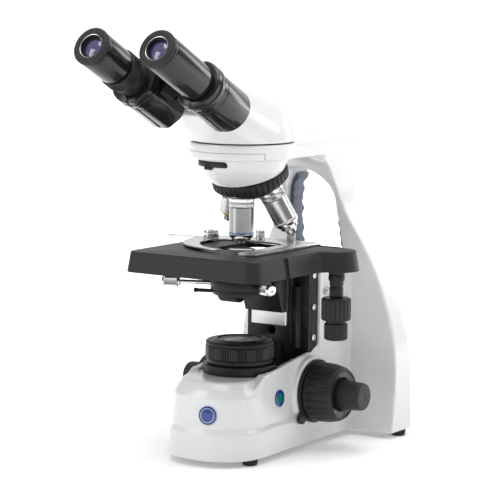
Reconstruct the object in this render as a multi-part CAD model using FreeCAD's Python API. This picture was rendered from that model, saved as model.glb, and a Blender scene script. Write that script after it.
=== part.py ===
import FreeCAD, Part
import os
from math import sin, cos, tan, acos, pi, radians, sqrt, atan2

# Binocular compound microscope, millimetres, +Z up, user at -Y, right hand at +X.
# Shapes are drawn about the optical axis (x = 0, y = 0) with z = 0 on the bench,
# and are moved by OPTIC_Y on export, so that the origin is under the middle of the whole instrument.

V = FreeCAD.Vector
X_AXIS = V(1, 0, 0)
Y_AXIS = V(0, 1, 0)
Z_AXIS = V(0, 0, 1)

# ---- driving dimensions -------------------------------------------------------------------
OPTIC_Y = 9.9            # optical axis, from the middle of the instrument's depth
FOOT_H = 5.5             # height of the rubber feet
PLATE_T = 2.0            # base plate
WALL = 4.0               # casting wall
DECK_Z = 74.0            # top of the base under the illuminator
ARM_TOP = 280.0          # top of the arm, where the head sits
ARM_BOTTOM = 266.0       # underside of the arm's front ring
HEAD_R = 46.0            # radius of the head's foot
RING_R = 47.0            # radius of the arm's front ring
ARM_HALF = 44.0          # half width of the arm
ARM_BACK_Y = 106.0       # centre of the arm's rounded back
SHOULDER_Z = 233.0       # seat of the objective that is in use
STAGE_TOP = 185.5
STAGE_BOTTOM = 167.5
SKIN_T = 5.0             # thickness of the stage's top plate
KNOB_Y = 58.0            # focus axis
KNOB_Z = 52.5
EYE_Y = -177.4           # middle of the two eyepiece faces
EYE_Z = 368.1
TUBE_TILT = 27.5         # tubes above the horizontal
SWING_R = 38.0           # from the hinge of the tubes to each tube's axis
HINGE_RISE = 18.0        # hinge of the tubes above the plane of the tubes
TURRET_TILT = 20.5
TURRET_R = 17.5          # radius of the circle of objective seats
GAP = 0.3                # clearance between moving bodies
FIT = 0.05               # radial clearance of a shaft in its bore
COLUMN_HALF = 36.0
COLUMN_TOP = 165.0
RAIL_HALF = 33.0
RAIL_FRONT = 62.0
RAIL_BACK = 77.0
CARRIER_FRONT = 52.0
CARRIER_HALF = 20.0
LEG_BACK = 166.0

# stand
BASE_NOSE_HALF = 46.0
BASE_BACK_HALF = 39.0
NOSE_FRONT = -73.0
NOSE_SIDE_Y = -26.0
BASE_BACK_Y = 140.0
SKIRT_TOP = 30.0
SHOULDER_LOW = 61.0
OPENING_LOW = 168.0
OPENING_TOP = 252.0
SOCKET_R = 34.0          # dovetail socket for the head
SOCKET_DEPTH = 4.0
LIGHT_R = 15.0
FLANGE_R = 33.0          # foot of the field diaphragm
DIAL_Y = 5.0             # brightness dial on the left of the base
DIAL_Z = 42.0
DIAL_X = -42.2
DIAL_SHAFT_R = 3.0
INLET_X = -10.0
INLET_Z = 25.0
SWITCH_X = 25.0
SWITCH_Y = 157.5
SWITCH_PIN_R = 1.5
TURRET_T = 15.0          # thickness of the turret's disc
TURRET_RING_R = 34.0
PIVOT_R = 3.0            # pivot of the turret in the bowl
BOWL_LIGHT_R = 5.5       # way of the light through the bowl

# turret and objectives
SEATS = {"objective_40x": 0, "objective_100x": 90, "objective_4x": 180, "objective_10x": 270}
THREAD_R = 10.16

# head
FACE_BACK = 123.4        # face of the head behind the tubes, from the eyepiece faces
FACE_R = 22.0
FACE_RISE = 10.0         # middle of that face above the plane of the tubes
HUB_R = 9.0
PRISM_LOW = ARM_TOP + 0.8
BODY_FRONT = 78.0
BODY_BACK = 123.0
BODY_R = 19.5
HUB_RING_R = 13.5
HUB_SPANS = {-1: (82.5, 101.5), 1: (102.0, 121.5)}
TUBE_BORE = 14.6
EYE_BARREL_R = 11.6      # standard 23.2 mm eyepiece barrel
EYE_BODY_R = 16.5
EYE_TUBE_R = 14.5

# base parts
FEET = ((36.5, -37.0), (76.5, 153.0))
KNOB_BORE = 14.0
PLATE_INSET = 4.87       # plate inside the wall at the foot of the base
LIGHT_TUBE_R = 14.5
FIELD_RING_LOW = 83.0
GRIP_T = 4.0

# focusing
SCREW_LEVELS = (99.0, 127.0, 156.0)
RACK_PITCH = 1.5
FRAME_LOW = 168.5
FRAME_T = 5.0
PINION_R = 6.0
SLEEVE_R = 5.0
SHAFT_R = 3.0
KNOB_START = 46.0        # inner end of the coarse knobs, from the middle
TENSION_BORE = 10.0

# stage
STAGE_LEFT = -68.0
STAGE_RIGHT = 72.0
STAGE_FRONT = -86.0
STAGE_BACK = 58.0
CONTROL_X = 75.4
CONTROL_Y = 40.0
EAR_R = 20.0
SKIRT_T = 4.0
GROOVE_Y = 53.1          # groove along the back of the stage, for the specimen holder
CONTROL_SHAFT_R = 3.0
HOLDER_LOW = STAGE_TOP + 0.3
FINGER_X = -50.0
FINGER_Y = 26.0
FINGER_PIN_R = 2.5
HOLDER_T = 2.5
BRIDGE_T = 1.2            # thinner part of the plate under the finger

# condenser
CONDENSER_R = 22.0
MOUNT_R = 27.0
CENTRING_R = 2.0
PINION_Y = 38.0

EYE_HALF = sqrt(SWING_R ** 2 - HINGE_RISE ** 2)
TUBE_DIR = V(0, -cos(radians(TUBE_TILT)), sin(radians(TUBE_TILT)))
TUBE_UP = V(0, sin(radians(TUBE_TILT)), cos(radians(TUBE_TILT)))
TURRET_DIR = V(0, sin(radians(TURRET_TILT)), -cos(radians(TURRET_TILT)))


# ---- helpers ------------------------------------------------------------------------------
def box(x0, x1, y0, y1, z0, z1):
    return Part.makeBox(x1 - x0, y1 - y0, z1 - z0, V(x0, y0, z0))


def rod(r, length, base, axis=Z_AXIS):
    return Part.makeCylinder(r, length, base, axis)


def pipe(outer, inner, length, base, axis=Z_AXIS):
    return rod(outer, length, base, axis).cut(rod(inner, length, base, axis))


def taper(r0, r1, length, base, axis=Z_AXIS):
    return Part.makeCone(r0, r1, length, base, axis)


def fuse(shapes):
    result = shapes[0]
    for shape in shapes[1:]:
        result = result.fuse(shape)
    return result.removeSplitter()


def outline(points, z0, height):
    """A flat outline of (x, y) points, raised from z0."""
    wire = Part.makePolygon([V(x, y, z0) for x, y in points + points[:1]])
    return Part.Face(wire).extrude(V(0, 0, height))


def turned(points, base=V(0, 0, 0), axis=Z_AXIS):
    """A turned solid: (radius, height) points about an axis through base."""
    wire = Part.makePolygon([V(r, 0, h) for r, h in points + points[:1]])
    solid = Part.Face(wire).revolve(V(0, 0, 0), Z_AXIS, 360)
    solid = Part.makeSolid(solid) if solid.ShapeType != "Solid" else solid
    solid.Placement = FreeCAD.Placement(base, FreeCAD.Rotation(Z_AXIS, axis))
    return solid


def mirrored(shape):
    return shape.mirror(V(0, 0, 0), X_AXIS)


def both_sides(shape):
    return Part.makeCompound([shape, mirrored(shape)])


def ring_of(count, radius, start=0.0):
    """Points (x, y) spaced evenly round a circle."""
    step = 2 * pi / count
    return [(radius * cos(start + i * step), radius * sin(start + i * step)) for i in range(count)]


def tube_point(x, back, rise=0.0):
    """A point by its distance behind the eyepiece faces and its rise over the plane of the tubes."""
    return V(x, EYE_Y, EYE_Z) - TUBE_DIR * back + TUBE_UP * rise


NODES = {}


def save(name, shape):
    NODES[name] = shape.translated(V(0, OPTIC_Y, 0))


# ---- stand ----------------------------------------------------------------------------------


def base_wire(inset, z):
    """Plan of the base at one height: an elliptical nose and sides that draw in towards the back."""
    half = BASE_NOSE_HALF - inset
    back_half = BASE_BACK_HALF - inset
    depth = NOSE_SIDE_Y - NOSE_FRONT - inset
    steps = 16
    front = []
    for i in range(steps + 1):
        a = pi * i / steps
        x = half * (abs(cos(a)) ** 0.84) * (1 if cos(a) >= 0 else -1)
        y = NOSE_SIDE_Y - depth * (sin(a) ** 0.84)
        front.append(V(x, y, z))
    nose = Part.BSplineCurve()
    nose.interpolate(front)
    right = Part.makeLine(V(back_half, BASE_BACK_Y, z), front[0])
    left = Part.makeLine(front[-1], V(-back_half, BASE_BACK_Y, z))
    back = Part.makeLine(V(-back_half, BASE_BACK_Y, z), V(back_half, BASE_BACK_Y, z))
    return Part.Wire([right, nose.toShape(), left, back])


def base_loft(levels):
    """A solid through the base's plan at (inset, z) levels, with straight walls between them."""
    return Part.makeLoft([base_wire(inset, z) for inset, z in levels], True, True)


def base_body():
    skirt = base_loft([(0.0, FOOT_H), (2.0, SKIRT_TOP), (3.6, SKIRT_TOP + 2.0), (5.0, SHOULDER_LOW),
                       (8.0, 67.0), (13.0, DECK_Z)])
    ridge_side = [(-48.0, 58.0), (-18.0, 77.0), (66.0, 87.0), (78.0, 93.0), (BASE_BACK_Y, 93.0),
                  (BASE_BACK_Y, 58.0)]
    wire = Part.makePolygon([V(-60, y, z) for y, z in ridge_side + ridge_side[:1]])
    ridge = Part.Face(wire).extrude(V(120, 0, 0))
    plan = base_loft([(5.0, 56.0), (8.0, 95.0)])
    well = box(-31, 31, -60, RAIL_BACK, DECK_Z, 100.0).fuse(rod(FLANGE_R + 1.5, 30.0, V(0, 0, DECK_Z)))
    return skirt.fuse(ridge.common(plan).cut(well))


def arch():
    """The splayed legs that rise from the wings and meet in the arm."""
    outer = [(84.0, FOOT_H), (86.0, 47.5), (84.0, 89.5), (73.5, 130.5), (60.0, 164.5), (45.0, 193.5),
             (35.0, 215.5), (32.5, 232.5), (35.0, 246.0), (40.0, 258.0), (44.0, 268.0)]
    right = Part.BSplineCurve()
    right.interpolate([V(x, 0, z) for x, z in outer])
    left = Part.BSplineCurve()
    left.interpolate([V(-x, 0, z) for x, z in reversed(outer)])
    low = outer[0]
    top = outer[-1]
    edges = [right.toShape(),
             Part.makeLine(V(top[0], 0, top[1]), V(top[0], 0, ARM_TOP)),
             Part.makeLine(V(top[0], 0, ARM_TOP), V(-top[0], 0, ARM_TOP)),
             Part.makeLine(V(-top[0], 0, ARM_TOP), V(-top[0], 0, top[1])),
             left.toShape(),
             Part.makeLine(V(-low[0], 0, low[1]), V(low[0], 0, low[1]))]
    front_view = Part.Face(Part.Wire(edges)).extrude(V(0, 220, 0))

    front = [(52.0, ARM_BOTTOM), (79.0, 257.5), (97.0, 244.5), (110.0, 230.0), (116.0, 213.0), (121.0, 193.5),
             (126.0, 164.5), (128.5, 130.5), (130.0, 89.5), (130.0, 47.5), (128.0, FOOT_H)]
    back = [(LEG_BACK, FOOT_H), (160.0, 47.5), (157.5, 89.5), (155.0, 130.5), (151.0, 164.5), (146.5, 193.5),
            (142.5, 215.5), (141.5, 232.5), (144.5, 248.0), (149.0, 262.0), (150.0, ARM_TOP)]
    front_edge = Part.BSplineCurve()
    front_edge.interpolate([V(0, y, z) for y, z in front])
    back_edge = Part.BSplineCurve()
    back_edge.interpolate([V(0, y, z) for y, z in back])
    edges = [front_edge.toShape(),
             Part.makeLine(V(0, front[-1][0], FOOT_H), V(0, LEG_BACK, FOOT_H)),
             back_edge.toShape(),
             Part.makeLine(V(0, 150.0, ARM_TOP), V(0, 52.0, ARM_TOP)),
             Part.makeLine(V(0, 52.0, ARM_TOP), V(0, 52.0, ARM_BOTTOM))]
    side_view = Part.Face(Part.Wire(edges)).extrude(V(200, 0, 0)).translated(V(-100, 0, 0))
    legs = front_view.common(side_view)
    legs = legs.common(taper(120.0, 50.0, 112.0, V(0, 98.0, 150.0)).fuse(rod(120.0, 150.0, V(0, 98.0, 0)))
                       .fuse(rod(50.0, 30.0, V(0, 98.0, 262.0))))
    return legs.cut(hand_opening(0.0))


def hand_opening(inset):
    """The arched opening between the legs, through which a hand carries the instrument."""
    half_low = 29.0 - inset
    top = OPENING_TOP - inset
    low = OPENING_LOW
    right = Part.BSplineCurve()
    right.interpolate([V(half_low, 0, low + 4), V(28.4 - inset, 0, 190.0), V(27.0 - inset, 0, 212.0),
                       V(25.6 - inset, 0, 230.0), V(18.0 - inset, 0, top - 7.0), V(0, 0, top)])
    left = mirrored(right.toShape())
    sill = Part.makeLine(V(-half_low, 0, low + 4), V(half_low, 0, low + 4))
    return Part.Face(Part.Wire([right.toShape(), left, sill])).extrude(V(0, 260, 0))


def arm_plate():
    """The arm: a flat beam with a round front for the head and a round back over the legs."""
    height = ARM_TOP - ARM_BOTTOM
    beam = box(-ARM_HALF, ARM_HALF, 0, ARM_BACK_Y, ARM_BOTTOM, ARM_TOP)
    back = rod(ARM_HALF, height, V(0, ARM_BACK_Y, ARM_BOTTOM))
    ring = rod(RING_R, height, V(0, 0, ARM_BOTTOM))
    return fuse([beam, back, ring])


def stand_casting():
    body = base_body().fuse(arch())
    body = body.fuse(box(-COLUMN_HALF, COLUMN_HALF, RAIL_BACK, 135.0, 60.0, COLUMN_TOP))
    body = body.fuse(arm_plate())
    for side in (-1, 1):
        body = body.fuse(rod(31.5, 9.0, V(side * 33.5, KNOB_Y, KNOB_Z), V(side, 0, 0)))
    cuts = [
        base_loft([(WALL, 0.0), (WALL + 7.0, 62.0)]).common(box(-60, 60, -80, 125, 0, 62.0)),
        box(-72, 72, 134, 152, 0, 40.0),
        box(-22, 22, 44.5, RAIL_BACK, 62.0, 95.0),
        box(-RAIL_HALF, RAIL_HALF, RAIL_FRONT, RAIL_BACK, DECK_Z, COLUMN_TOP),
        rod(28.0, 30.0, V(0, 0, 60.0)),
        rod(LIGHT_R, 30.0, V(0, 0, 255.0)),
        rod(SOCKET_R, SOCKET_DEPTH + 1, V(0, 0, ARM_TOP - SOCKET_DEPTH)),
        rod(14.0, 120.0, V(-60, KNOB_Y, KNOB_Z), X_AXIS),
        rod(DIAL_SHAFT_R + FIT, 30.0, V(-25, DIAL_Y, DIAL_Z), V(-1, 0, 0)),
        box(INLET_X - 16, INLET_X + 16, 150, 175, INLET_Z - 11, INLET_Z + 11),
        box(SWITCH_X - 11, SWITCH_X + 11, 150, 175, INLET_Z - 9.2, INLET_Z + 9.2),
        rod(SWITCH_PIN_R + FIT, 26.0, V(SWITCH_X - 13, SWITCH_Y, INLET_Z), X_AXIS),
        box(-10, 10, 120, 136, 10, 22),
    ]
    for cut in cuts:
        body = body.cut(cut)
    return body.removeSplitter()


STAND = stand_casting()
save("stand_casting", STAND)


def nosepiece_housing():
    """A bowl under the arm's ring, cut off square to the turret's tilted axis."""
    bowl = turned([(0, 240.0), (22.0, 240.0), (28.7, 245.5), (33.2, 250.0), (36.7, 255.3), (38.6, 260.0),
                   (40.6, 265.0), (41.5, ARM_BOTTOM), (0, ARM_BOTTOM)])
    cutter = rod(90.0, 80.0, TURRET_TOP, TURRET_DIR)
    bowl = bowl.cut(cutter)
    bowl = bowl.cut(rod(BOWL_LIGHT_R, 60.0, V(0, 0, 225.0)))
    bowl = bowl.cut(FILTER_PLUG)
    return bowl.cut(rod(PIVOT_R + FIT, 40.0, TURRET_TOP - TURRET_DIR * 7.0, TURRET_DIR))


APEX_Z = SHOULDER_Z + TURRET_R / sin(radians(TURRET_TILT))
TURRET_CENTRE = V(0, 0, APEX_Z) + TURRET_DIR * (TURRET_R / tan(radians(TURRET_TILT)))
TURRET_TOP = TURRET_CENTRE - TURRET_DIR * (TURRET_T + GAP)
FILTER_PLUG = box(-25.0, 9.0, -48.0, -30.0, 259.5, 264.3)


def filter_plug():
    """Blanking slider that closes the filter slot in the bowl, with a finger tongue below its face."""
    front = rod(40.6, 6.0, V(0, 0, 259.0)).common(FILTER_PLUG)
    tongue = rod(41.2, 3.0, V(0, 0, 257.0)).common(box(-14.0, -5.0, -48.0, -36.0, 257.0, 259.5))
    return front.fuse(tongue.cut(rod(39.0, 10.0, V(0, 0, 255.0))))


save("nosepiece_housing", nosepiece_housing())
save("filter_plug", filter_plug())


# ---- turret and objectives --------------------------------------------------------------------
def turret_side(angle):
    """Unit vector square to the turret's axis; angle 0 is the seat in the light path."""
    forward = V(0, -cos(radians(TURRET_TILT)), -sin(radians(TURRET_TILT)))
    return forward * cos(radians(angle)) + X_AXIS * sin(radians(angle))


def seat(angle):
    """Middle of an objective's seat and the direction in which the objective points."""
    outward = turret_side(angle)
    place = TURRET_CENTRE + outward * TURRET_R
    direction = TURRET_DIR * cos(radians(TURRET_TILT)) + outward * sin(radians(TURRET_TILT))
    return place, direction


def turret_plate():
    back = TURRET_DIR * -1
    profile = [(0, -TURRET_T), (32.0, -TURRET_T), (32.6, -14.4), (TURRET_RING_R, -13.8),
               (TURRET_RING_R, -5.5), (32.6, -4.5), (30.0, -1.0), (25.0, 2.5), (0, 2.5)]
    body = turned(profile, TURRET_CENTRE, TURRET_DIR)
    for angle in SEATS.values():
        place, direction = seat(angle)
        body = body.fuse(rod(12.6, 3.6, place - direction * 3.6, direction))
    for angle in SEATS.values():
        place, direction = seat(angle)
        body = body.cut(rod(THREAD_R, 30.0, place - direction * 20.0, direction))
        body = body.cut(rod(15.0, 20.0, place, direction))
    for x, y in ring_of(36, TURRET_RING_R + 0.4):
        frame = FreeCAD.Placement(TURRET_CENTRE, FreeCAD.Rotation(Z_AXIS, TURRET_DIR))
        groove = rod(1.0, 10.0, V(x, y, -14.6))
        groove.Placement = frame.multiply(groove.Placement)
        body = body.cut(groove)
    return body.fuse(rod(PIVOT_R, 6.0, TURRET_CENTRE - TURRET_DIR * TURRET_T, back))


save("turret_plate", turret_plate())

# (radius, distance below the seat) down each barrel to its front lens
OBJECTIVES = {
    "objective_4x": [(11.4, 0), (11.4, 20.0), (9.6, 22.0), (9.6, 26.0), (8.0, 28.0)],
    "objective_10x": [(11.4, 0), (11.4, 28.0), (9.0, 31.0), (8.2, 35.0), (6.0, 36.0)],
    "objective_40x": [(11.4, 0), (11.4, 38.0), (9.2, 39.5), (5.0, 41.2), (4.2, 43.2)],
    "objective_100x": [(11.4, 0), (11.4, 37.0), (8.8, 40.5), (5.0, 43.5), (4.2, 45.6)],
}


def objective(name):
    place, direction = seat(SEATS[name])
    profile = OBJECTIVES[name]
    tip_r, tip_h = profile[-1]
    bore = [(tip_r - 1.4, tip_h), (tip_r - 1.4, tip_h - 4.0), (8.0, tip_h - 9.0), (8.0, 0)]
    barrel = turned(profile + bore, place, direction)
    thread = pipe(THREAD_R - FIT, 8.0, 4.5, place, direction * -1)
    return barrel.fuse(thread).removeSplitter()


def front_lens(name):
    place, direction = seat(SEATS[name])
    tip_r, tip_h = OBJECTIVES[name][-1]
    return rod(tip_r - 1.4, 2.0, place + direction * (tip_h - 2.2), direction)


for objective_name in SEATS:
    save(objective_name, objective(objective_name))
save("objective_lenses", Part.makeCompound([front_lens(name) for name in SEATS]))


# ---- head ---------------------------------------------------------------------------------------


def head_housing():
    """A dome that runs out as a tangent cone to a flat face square to the tubes."""
    middle = V(0, 0, ARM_TOP)
    low = ARM_TOP + 0.8
    face = tube_point(0, FACE_BACK, FACE_RISE)
    lean = face - middle
    reach = lean.Length
    lean.normalize()
    spread = atan2(FACE_R, reach)
    contact = spread + acos(HEAD_R / sqrt(reach ** 2 + FACE_R ** 2))
    start_h = HEAD_R * cos(contact)
    start_r = HEAD_R * sin(contact)
    slope = (start_r - FACE_R) / (reach - start_h)
    snout = taper(start_r, FACE_R - 5.0 * slope, reach + 5.0 - start_h, middle + lean * start_h, lean)
    body = Part.makeSphere(HEAD_R, middle).fuse(snout)
    body = body.common(rod(90.0, 150.0, face, TUBE_DIR * -1))
    body = body.common(taper(HEAD_R, HEAD_R + 60.0, 60.0, V(0, 0, low)))
    inside = Part.makeSphere(HEAD_R - WALL, middle).cut(box(-60, 60, -60, 60, 200, low))
    body = body.cut(inside)
    return body.removeSplitter()


def head_dovetail():
    """Foot of the head: a turned plate that sits in the arm's socket and closes the dome from below."""
    flange = pipe(HEAD_R - 1.0, LIGHT_R, 0.7, V(0, 0, ARM_TOP + 0.1))
    plug = pipe(SOCKET_R - FIT, LIGHT_R, SOCKET_DEPTH, V(0, 0, ARM_TOP - SOCKET_DEPTH + 0.1))
    return flange.fuse(plug).removeSplitter()


def tube_hub():
    """Hollow pivot of the two tubes, with the cover disc at its front."""
    axis = TUBE_DIR * -1
    shaft = rod(HUB_R, FACE_BACK - 82.0, tube_point(0, 82.0, HINGE_RISE), axis)
    cover = rod(15.5, 5.0, tube_point(0, 77.0, HINGE_RISE), axis)
    return shaft.fuse(cover).removeSplitter()


def beam_prism():
    """The prism block that turns the light from the vertical into the pivot of the tubes."""
    side = [(-14, PRISM_LOW), (14, PRISM_LOW), (14, 306), (-14, 298), (-14, PRISM_LOW)]
    prism = Part.makePolygon([V(-12, y, z) for y, z in side])
    return Part.Face(prism).extrude(V(24, 0, 0))


save("head_housing", head_housing())
save("head_dovetail", head_dovetail())
save("tube_hub", tube_hub())
save("beam_prism", beam_prism())


def tube_body(side):
    """Prism housing of one eyepiece: a round barrel joined by a web to its ring on the pivot."""
    axis = TUBE_DIR * -1
    x = side * EYE_HALF
    barrel = rod(BODY_R, BODY_BACK - BODY_FRONT, tube_point(x, BODY_FRONT), axis)
    corners = [(0, 1.0), (-0.62, 1.0), (-1.0, 0.58), (-1.0, -0.42), (-0.45, -1.0), (0, -1.0)]
    section = [tube_point(x + side * u * BODY_R, BODY_FRONT, w * BODY_R) for u, w in corners]
    block = Part.Face(Part.makePolygon(section + section[:1])).extrude(axis * (BODY_BACK - BODY_FRONT))
    start, end = HUB_SPANS[side]
    hub = rod(HUB_RING_R, end - start, tube_point(0, start, HINGE_RISE), axis)
    web_points = [tube_point(0, start, HINGE_RISE + 9), tube_point(x, start, 15), tube_point(x, start, -15),
                  tube_point(0, start, HINGE_RISE - 13)]
    web = Part.Face(Part.makePolygon(web_points + web_points[:1])).extrude(axis * (end - start))
    body = fuse([barrel, block, hub, web])
    clear = HUB_R + FIT
    body = body.cut(rod(clear, BODY_BACK, tube_point(0, 40.0, HINGE_RISE), axis))
    body = body.cut(rod(TUBE_BORE, 40.0, tube_point(x, BODY_FRONT, 0), axis))
    tunnel_start = (start + end) / 2
    tunnel_base = tube_point(x, tunnel_start)
    tunnel = rod(6.0, SWING_R, tunnel_base, tube_point(0, tunnel_start, HINGE_RISE) - tunnel_base)
    return body.cut(tunnel)


def eye_tube(side):
    """Flange plate and the tube that takes the eyepiece."""
    axis = TUBE_DIR * -1
    x = side * EYE_HALF
    flange = rod(21.5, 8.0, tube_point(x, BODY_FRONT - 8.0), axis)
    flange = flange.cut(rod(16.0, 60.0, tube_point(0, 60.0, HINGE_RISE), axis))
    front = 48.0 if side > 0 else 44.3
    tube = rod(EYE_TUBE_R, BODY_FRONT - front + 14.0, tube_point(x, front), axis)
    bore = rod(EYE_BARREL_R + FIT, 120.0, tube_point(x, 40.0), axis)
    return flange.fuse(tube).cut(bore).removeSplitter()


def eyepiece_body(side):
    axis = TUBE_DIR * -1
    x = side * EYE_HALF
    length = 34.0 if side < 0 else 57.0
    shell = pipe(EYE_BODY_R, 9.8, length, tube_point(x, 5.0), axis)
    if side > 0:
        shell = shell.cut(rod(14.8, 15.0, tube_point(x, 47.6), axis))
    barrel_start = 5.0 + length if side < 0 else 47.6
    barrel = pipe(EYE_BARREL_R, 9.8, 92.0 - barrel_start, tube_point(x, barrel_start), axis)
    return shell.fuse(barrel).removeSplitter()


def eyecup(side):
    axis = TUBE_DIR * -1
    x = side * EYE_HALF
    cup = rod(EYE_BODY_R + 0.3, 5.0, tube_point(x, 0.0), axis)
    cup = cup.cut(taper(10.8, 9.8, 5.0, tube_point(x, 0.0), axis))
    return cup.cut(pipe(20.0, EYE_BODY_R - 0.6, 0.8, tube_point(x, 4.2), axis))


def eye_lens(side):
    axis = TUBE_DIR * -1
    return rod(9.8, 4.0, tube_point(side * EYE_HALF, 3.0 + 2.0), axis)


def diopter_ring():
    """Ring on the left tube that focuses the left eyepiece."""
    axis = TUBE_DIR * -1
    ring = rod(17.6, 21.0, tube_point(-EYE_HALF, 41.0), axis)
    ring = ring.cut(rod(EYE_TUBE_R + FIT, 30.0, tube_point(-EYE_HALF, 44.0), axis))
    ring = ring.cut(rod(EYE_BARREL_R + GAP, 40.0, tube_point(-EYE_HALF, 30.0), axis))
    return ring


for side, word in ((-1, "left"), (1, "right")):
    save("tube_body_" + word, tube_body(side).fuse(eye_tube(side)).removeSplitter())
    save("eyepiece_" + word, eyepiece_body(side))
    save("eyecup_" + word, eyecup(side))
save("eye_lens_left", eye_lens(-1))
save("eye_lens_right", eye_lens(1))
save("diopter_ring", diopter_ring())


# ---- base parts ---------------------------------------------------------------------------------


def base_plate():
    plan = Part.Face(base_wire(PLATE_INSET, FOOT_H)).extrude(V(0, 0, PLATE_T))
    plan = plan.common(box(-60, 60, -80, 124.5, 0, 20))
    for x, y in FEET[:1]:
        for side in (-1, 1):
            plan = plan.cut(rod(1.6, 10.0, V(side * (x - 3.5), y + 17.0, 0)))
    return plan


def feet():
    pads = []
    for x, y in FEET:
        for side in (-1, 1):
            pads.append(taper(6.6, 7.2, FOOT_H, V(side * x, y, 0)))
    return Part.makeCompound(pads)


def flange():
    """Fixed foot of the field diaphragm, with the tube that carries the lens down into the base."""
    foot = pipe(FLANGE_R, LIGHT_TUBE_R, 8.5, V(0, 0, DECK_Z))
    spigot = pipe(28.0 - FIT, LIGHT_TUBE_R, 12.0, V(0, 0, DECK_Z - 12.0))
    neck = pipe(28.0, LIGHT_TUBE_R, 16.0, V(0, 0, DECK_Z + 8.5))
    rim = pipe(20.0, LIGHT_TUBE_R, 5.0, V(0, 0, DECK_Z + 24.5))
    return fuse([foot, spigot, neck, rim])


def field_ring():
    """Knurled ring that opens and closes the field diaphragm."""
    ring = turned([(28.0 + FIT, FIELD_RING_LOW), (29.5, FIELD_RING_LOW), (29.5, 86.5), (31.0, 87.0),
                   (31.0, 101.0), (29.8, 102.5), (24.0, 104.0), (20.4, 104.6), (20.4, 98.8),
                    (28.0 + FIT, 98.8)])
    for x, y in ring_of(48, 31.3):
        ring = ring.cut(rod(0.6, 11.0, V(x, y, 88.5)))
    return ring


def field_lens():
    return rod(LIGHT_TUBE_R - FIT, 5.0, V(0, 0, 98.2))


def lamp_module():
    board = rod(12.0, 1.6, V(0, 0, 52.0))
    lamp = taper(3.0, 2.4, 2.4, V(0, 0, 53.6))
    return board.fuse(lamp)


def lamp_heatsink():
    plate = box(-16, 16, -16, 16, 48.0, 52.0)
    fins = [box(x, x + 1.6, -16, 16, 34.0, 48.0) for x in (-16.0, -9.6, -3.2, 3.2, 9.6, 14.4)]
    posts = [box(x, x + 4, -16, -12, FOOT_H + PLATE_T, 34.0) for x in (-16.0, 12.0)]
    posts = posts + [box(x, x + 4, 12, 16, FOOT_H + PLATE_T, 34.0) for x in (-16.0, 12.0)]
    ends = [box(x, x + 4, y, y + 4, 34.0, 48.0) for x in (-16.0, 12.0) for y in (-16.0, 12.0)]
    return fuse([plate] + fins + ends + posts)


def collector_lens():
    return rod(11.0, 5.0, V(0, 0, 64.0)).fuse(pipe(LIGHT_TUBE_R - FIT, 10.0, 4.0, V(0, 0, 64.5)))


def circuit_board():
    board = box(-28, 28, 84, 116, 14.0, 15.6)
    low = FOOT_H + PLATE_T
    stands = [rod(2.5, 14.0 - low, V(x, y, low)) for x in (-24, 24) for y in (88, 112)]
    parts = [box(-20, -6, 92, 110, 15.6, 27.0),
             box(4, 12, 94, 102, 15.6, 24.0),
             rod(5.0, 12.0, V(20, 104, 15.6))]
    return fuse([board] + stands + parts)


def power_inlet():
    """Appliance inlet in the back of the base: a hollow shell with three flat pins."""
    shell = box(INLET_X - 15.8, INLET_X + 15.8, 148.5, LEG_BACK - 2.5, INLET_Z - 10.8, INLET_Z + 10.8)
    shell = shell.cut(box(INLET_X - 12, INLET_X + 12, 151.5, 175, INLET_Z - 8, INLET_Z + 8))
    pins = [box(INLET_X + x - 1.0, INLET_X + x + 1.0, 151.5, 160.0, INLET_Z + z - 2.0, INLET_Z + z + 2.0)
            for x, z in ((-7.0, -2.0), (0.0, 3.0), (7.0, -2.0))]
    return fuse([shell] + pins)


def badge(r, start, outward):
    """Thin round badge that lies on the outer wall: a short disc less the casting behind it."""
    return rod(r, 2.2, start, outward).cut(STAND)


def rear_plate():
    return box(-72.0, 72.0, 134.0, 152.0, FOOT_H, FOOT_H + PLATE_T)


def switch_rocker():
    """Rocker of the mains switch, hinged across its middle."""
    side = [(-5.0, -4.5), (4.0, -7.2), (7.2, -7.0), (5.6, 0.0), (7.2, 7.0), (4.0, 7.2), (-5.0, 4.5)]
    wire = Part.makePolygon([V(SWITCH_X - 10.5, SWITCH_Y + y, INLET_Z + z) for y, z in side + side[:1]])
    pin = rod(SWITCH_PIN_R, 25.4, V(SWITCH_X - 12.7, SWITCH_Y, INLET_Z), X_AXIS)
    return Part.Face(wire).extrude(V(21.0, 0, 0)).fuse(pin)


def brightness_dial():
    """Lamp dimmer knob on a short spindle through the left wall."""
    knob = rod(9.0, 7.0, V(DIAL_X, DIAL_Y, DIAL_Z), V(-1, 0, 0))
    for y, z in ring_of(24, 9.3):
        knob = knob.cut(rod(0.6, 9.0, V(-52, DIAL_Y + y, DIAL_Z + z), X_AXIS))
    return knob.fuse(rod(DIAL_SHAFT_R, 14.0, V(DIAL_X, DIAL_Y, DIAL_Z), X_AXIS))


def grip_right():
    """Rubber pad that lines the back of the hand opening on one leg, with waves for the fingers."""
    low, high, waves = 173.0, 243.0, 4
    steps = 48
    edge = []
    for i in range(steps + 1):
        z = low + (high - low) * i / steps
        edge.append(V(0, grip_back(z) + 1.6 * cos(2 * pi * waves * i / steps), z))
    back = Part.BSplineCurve()
    back.interpolate(edge)
    front = Part.BSplineCurve()
    front.interpolate([V(0, grip_back(z) - 19.0, z) for z in (high, 230.0, 210.0, 190.0, low)])
    top = Part.makeLine(edge[-1], V(0, grip_back(high) - 19.0, high))
    bottom = Part.makeLine(V(0, grip_back(low) - 19.0, low), edge[0])
    pad = Part.Face(Part.Wire([back.toShape(), top, front.toShape(), bottom])).extrude(V(40, 0, 0))
    return pad.common(hand_opening(0.0)).cut(hand_opening(GRIP_T))


def grip_back(z):
    """Back edge of the grip, which follows the back of the leg."""
    return 140.0 + (z - 235.0) ** 2 * 0.0022


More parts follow.
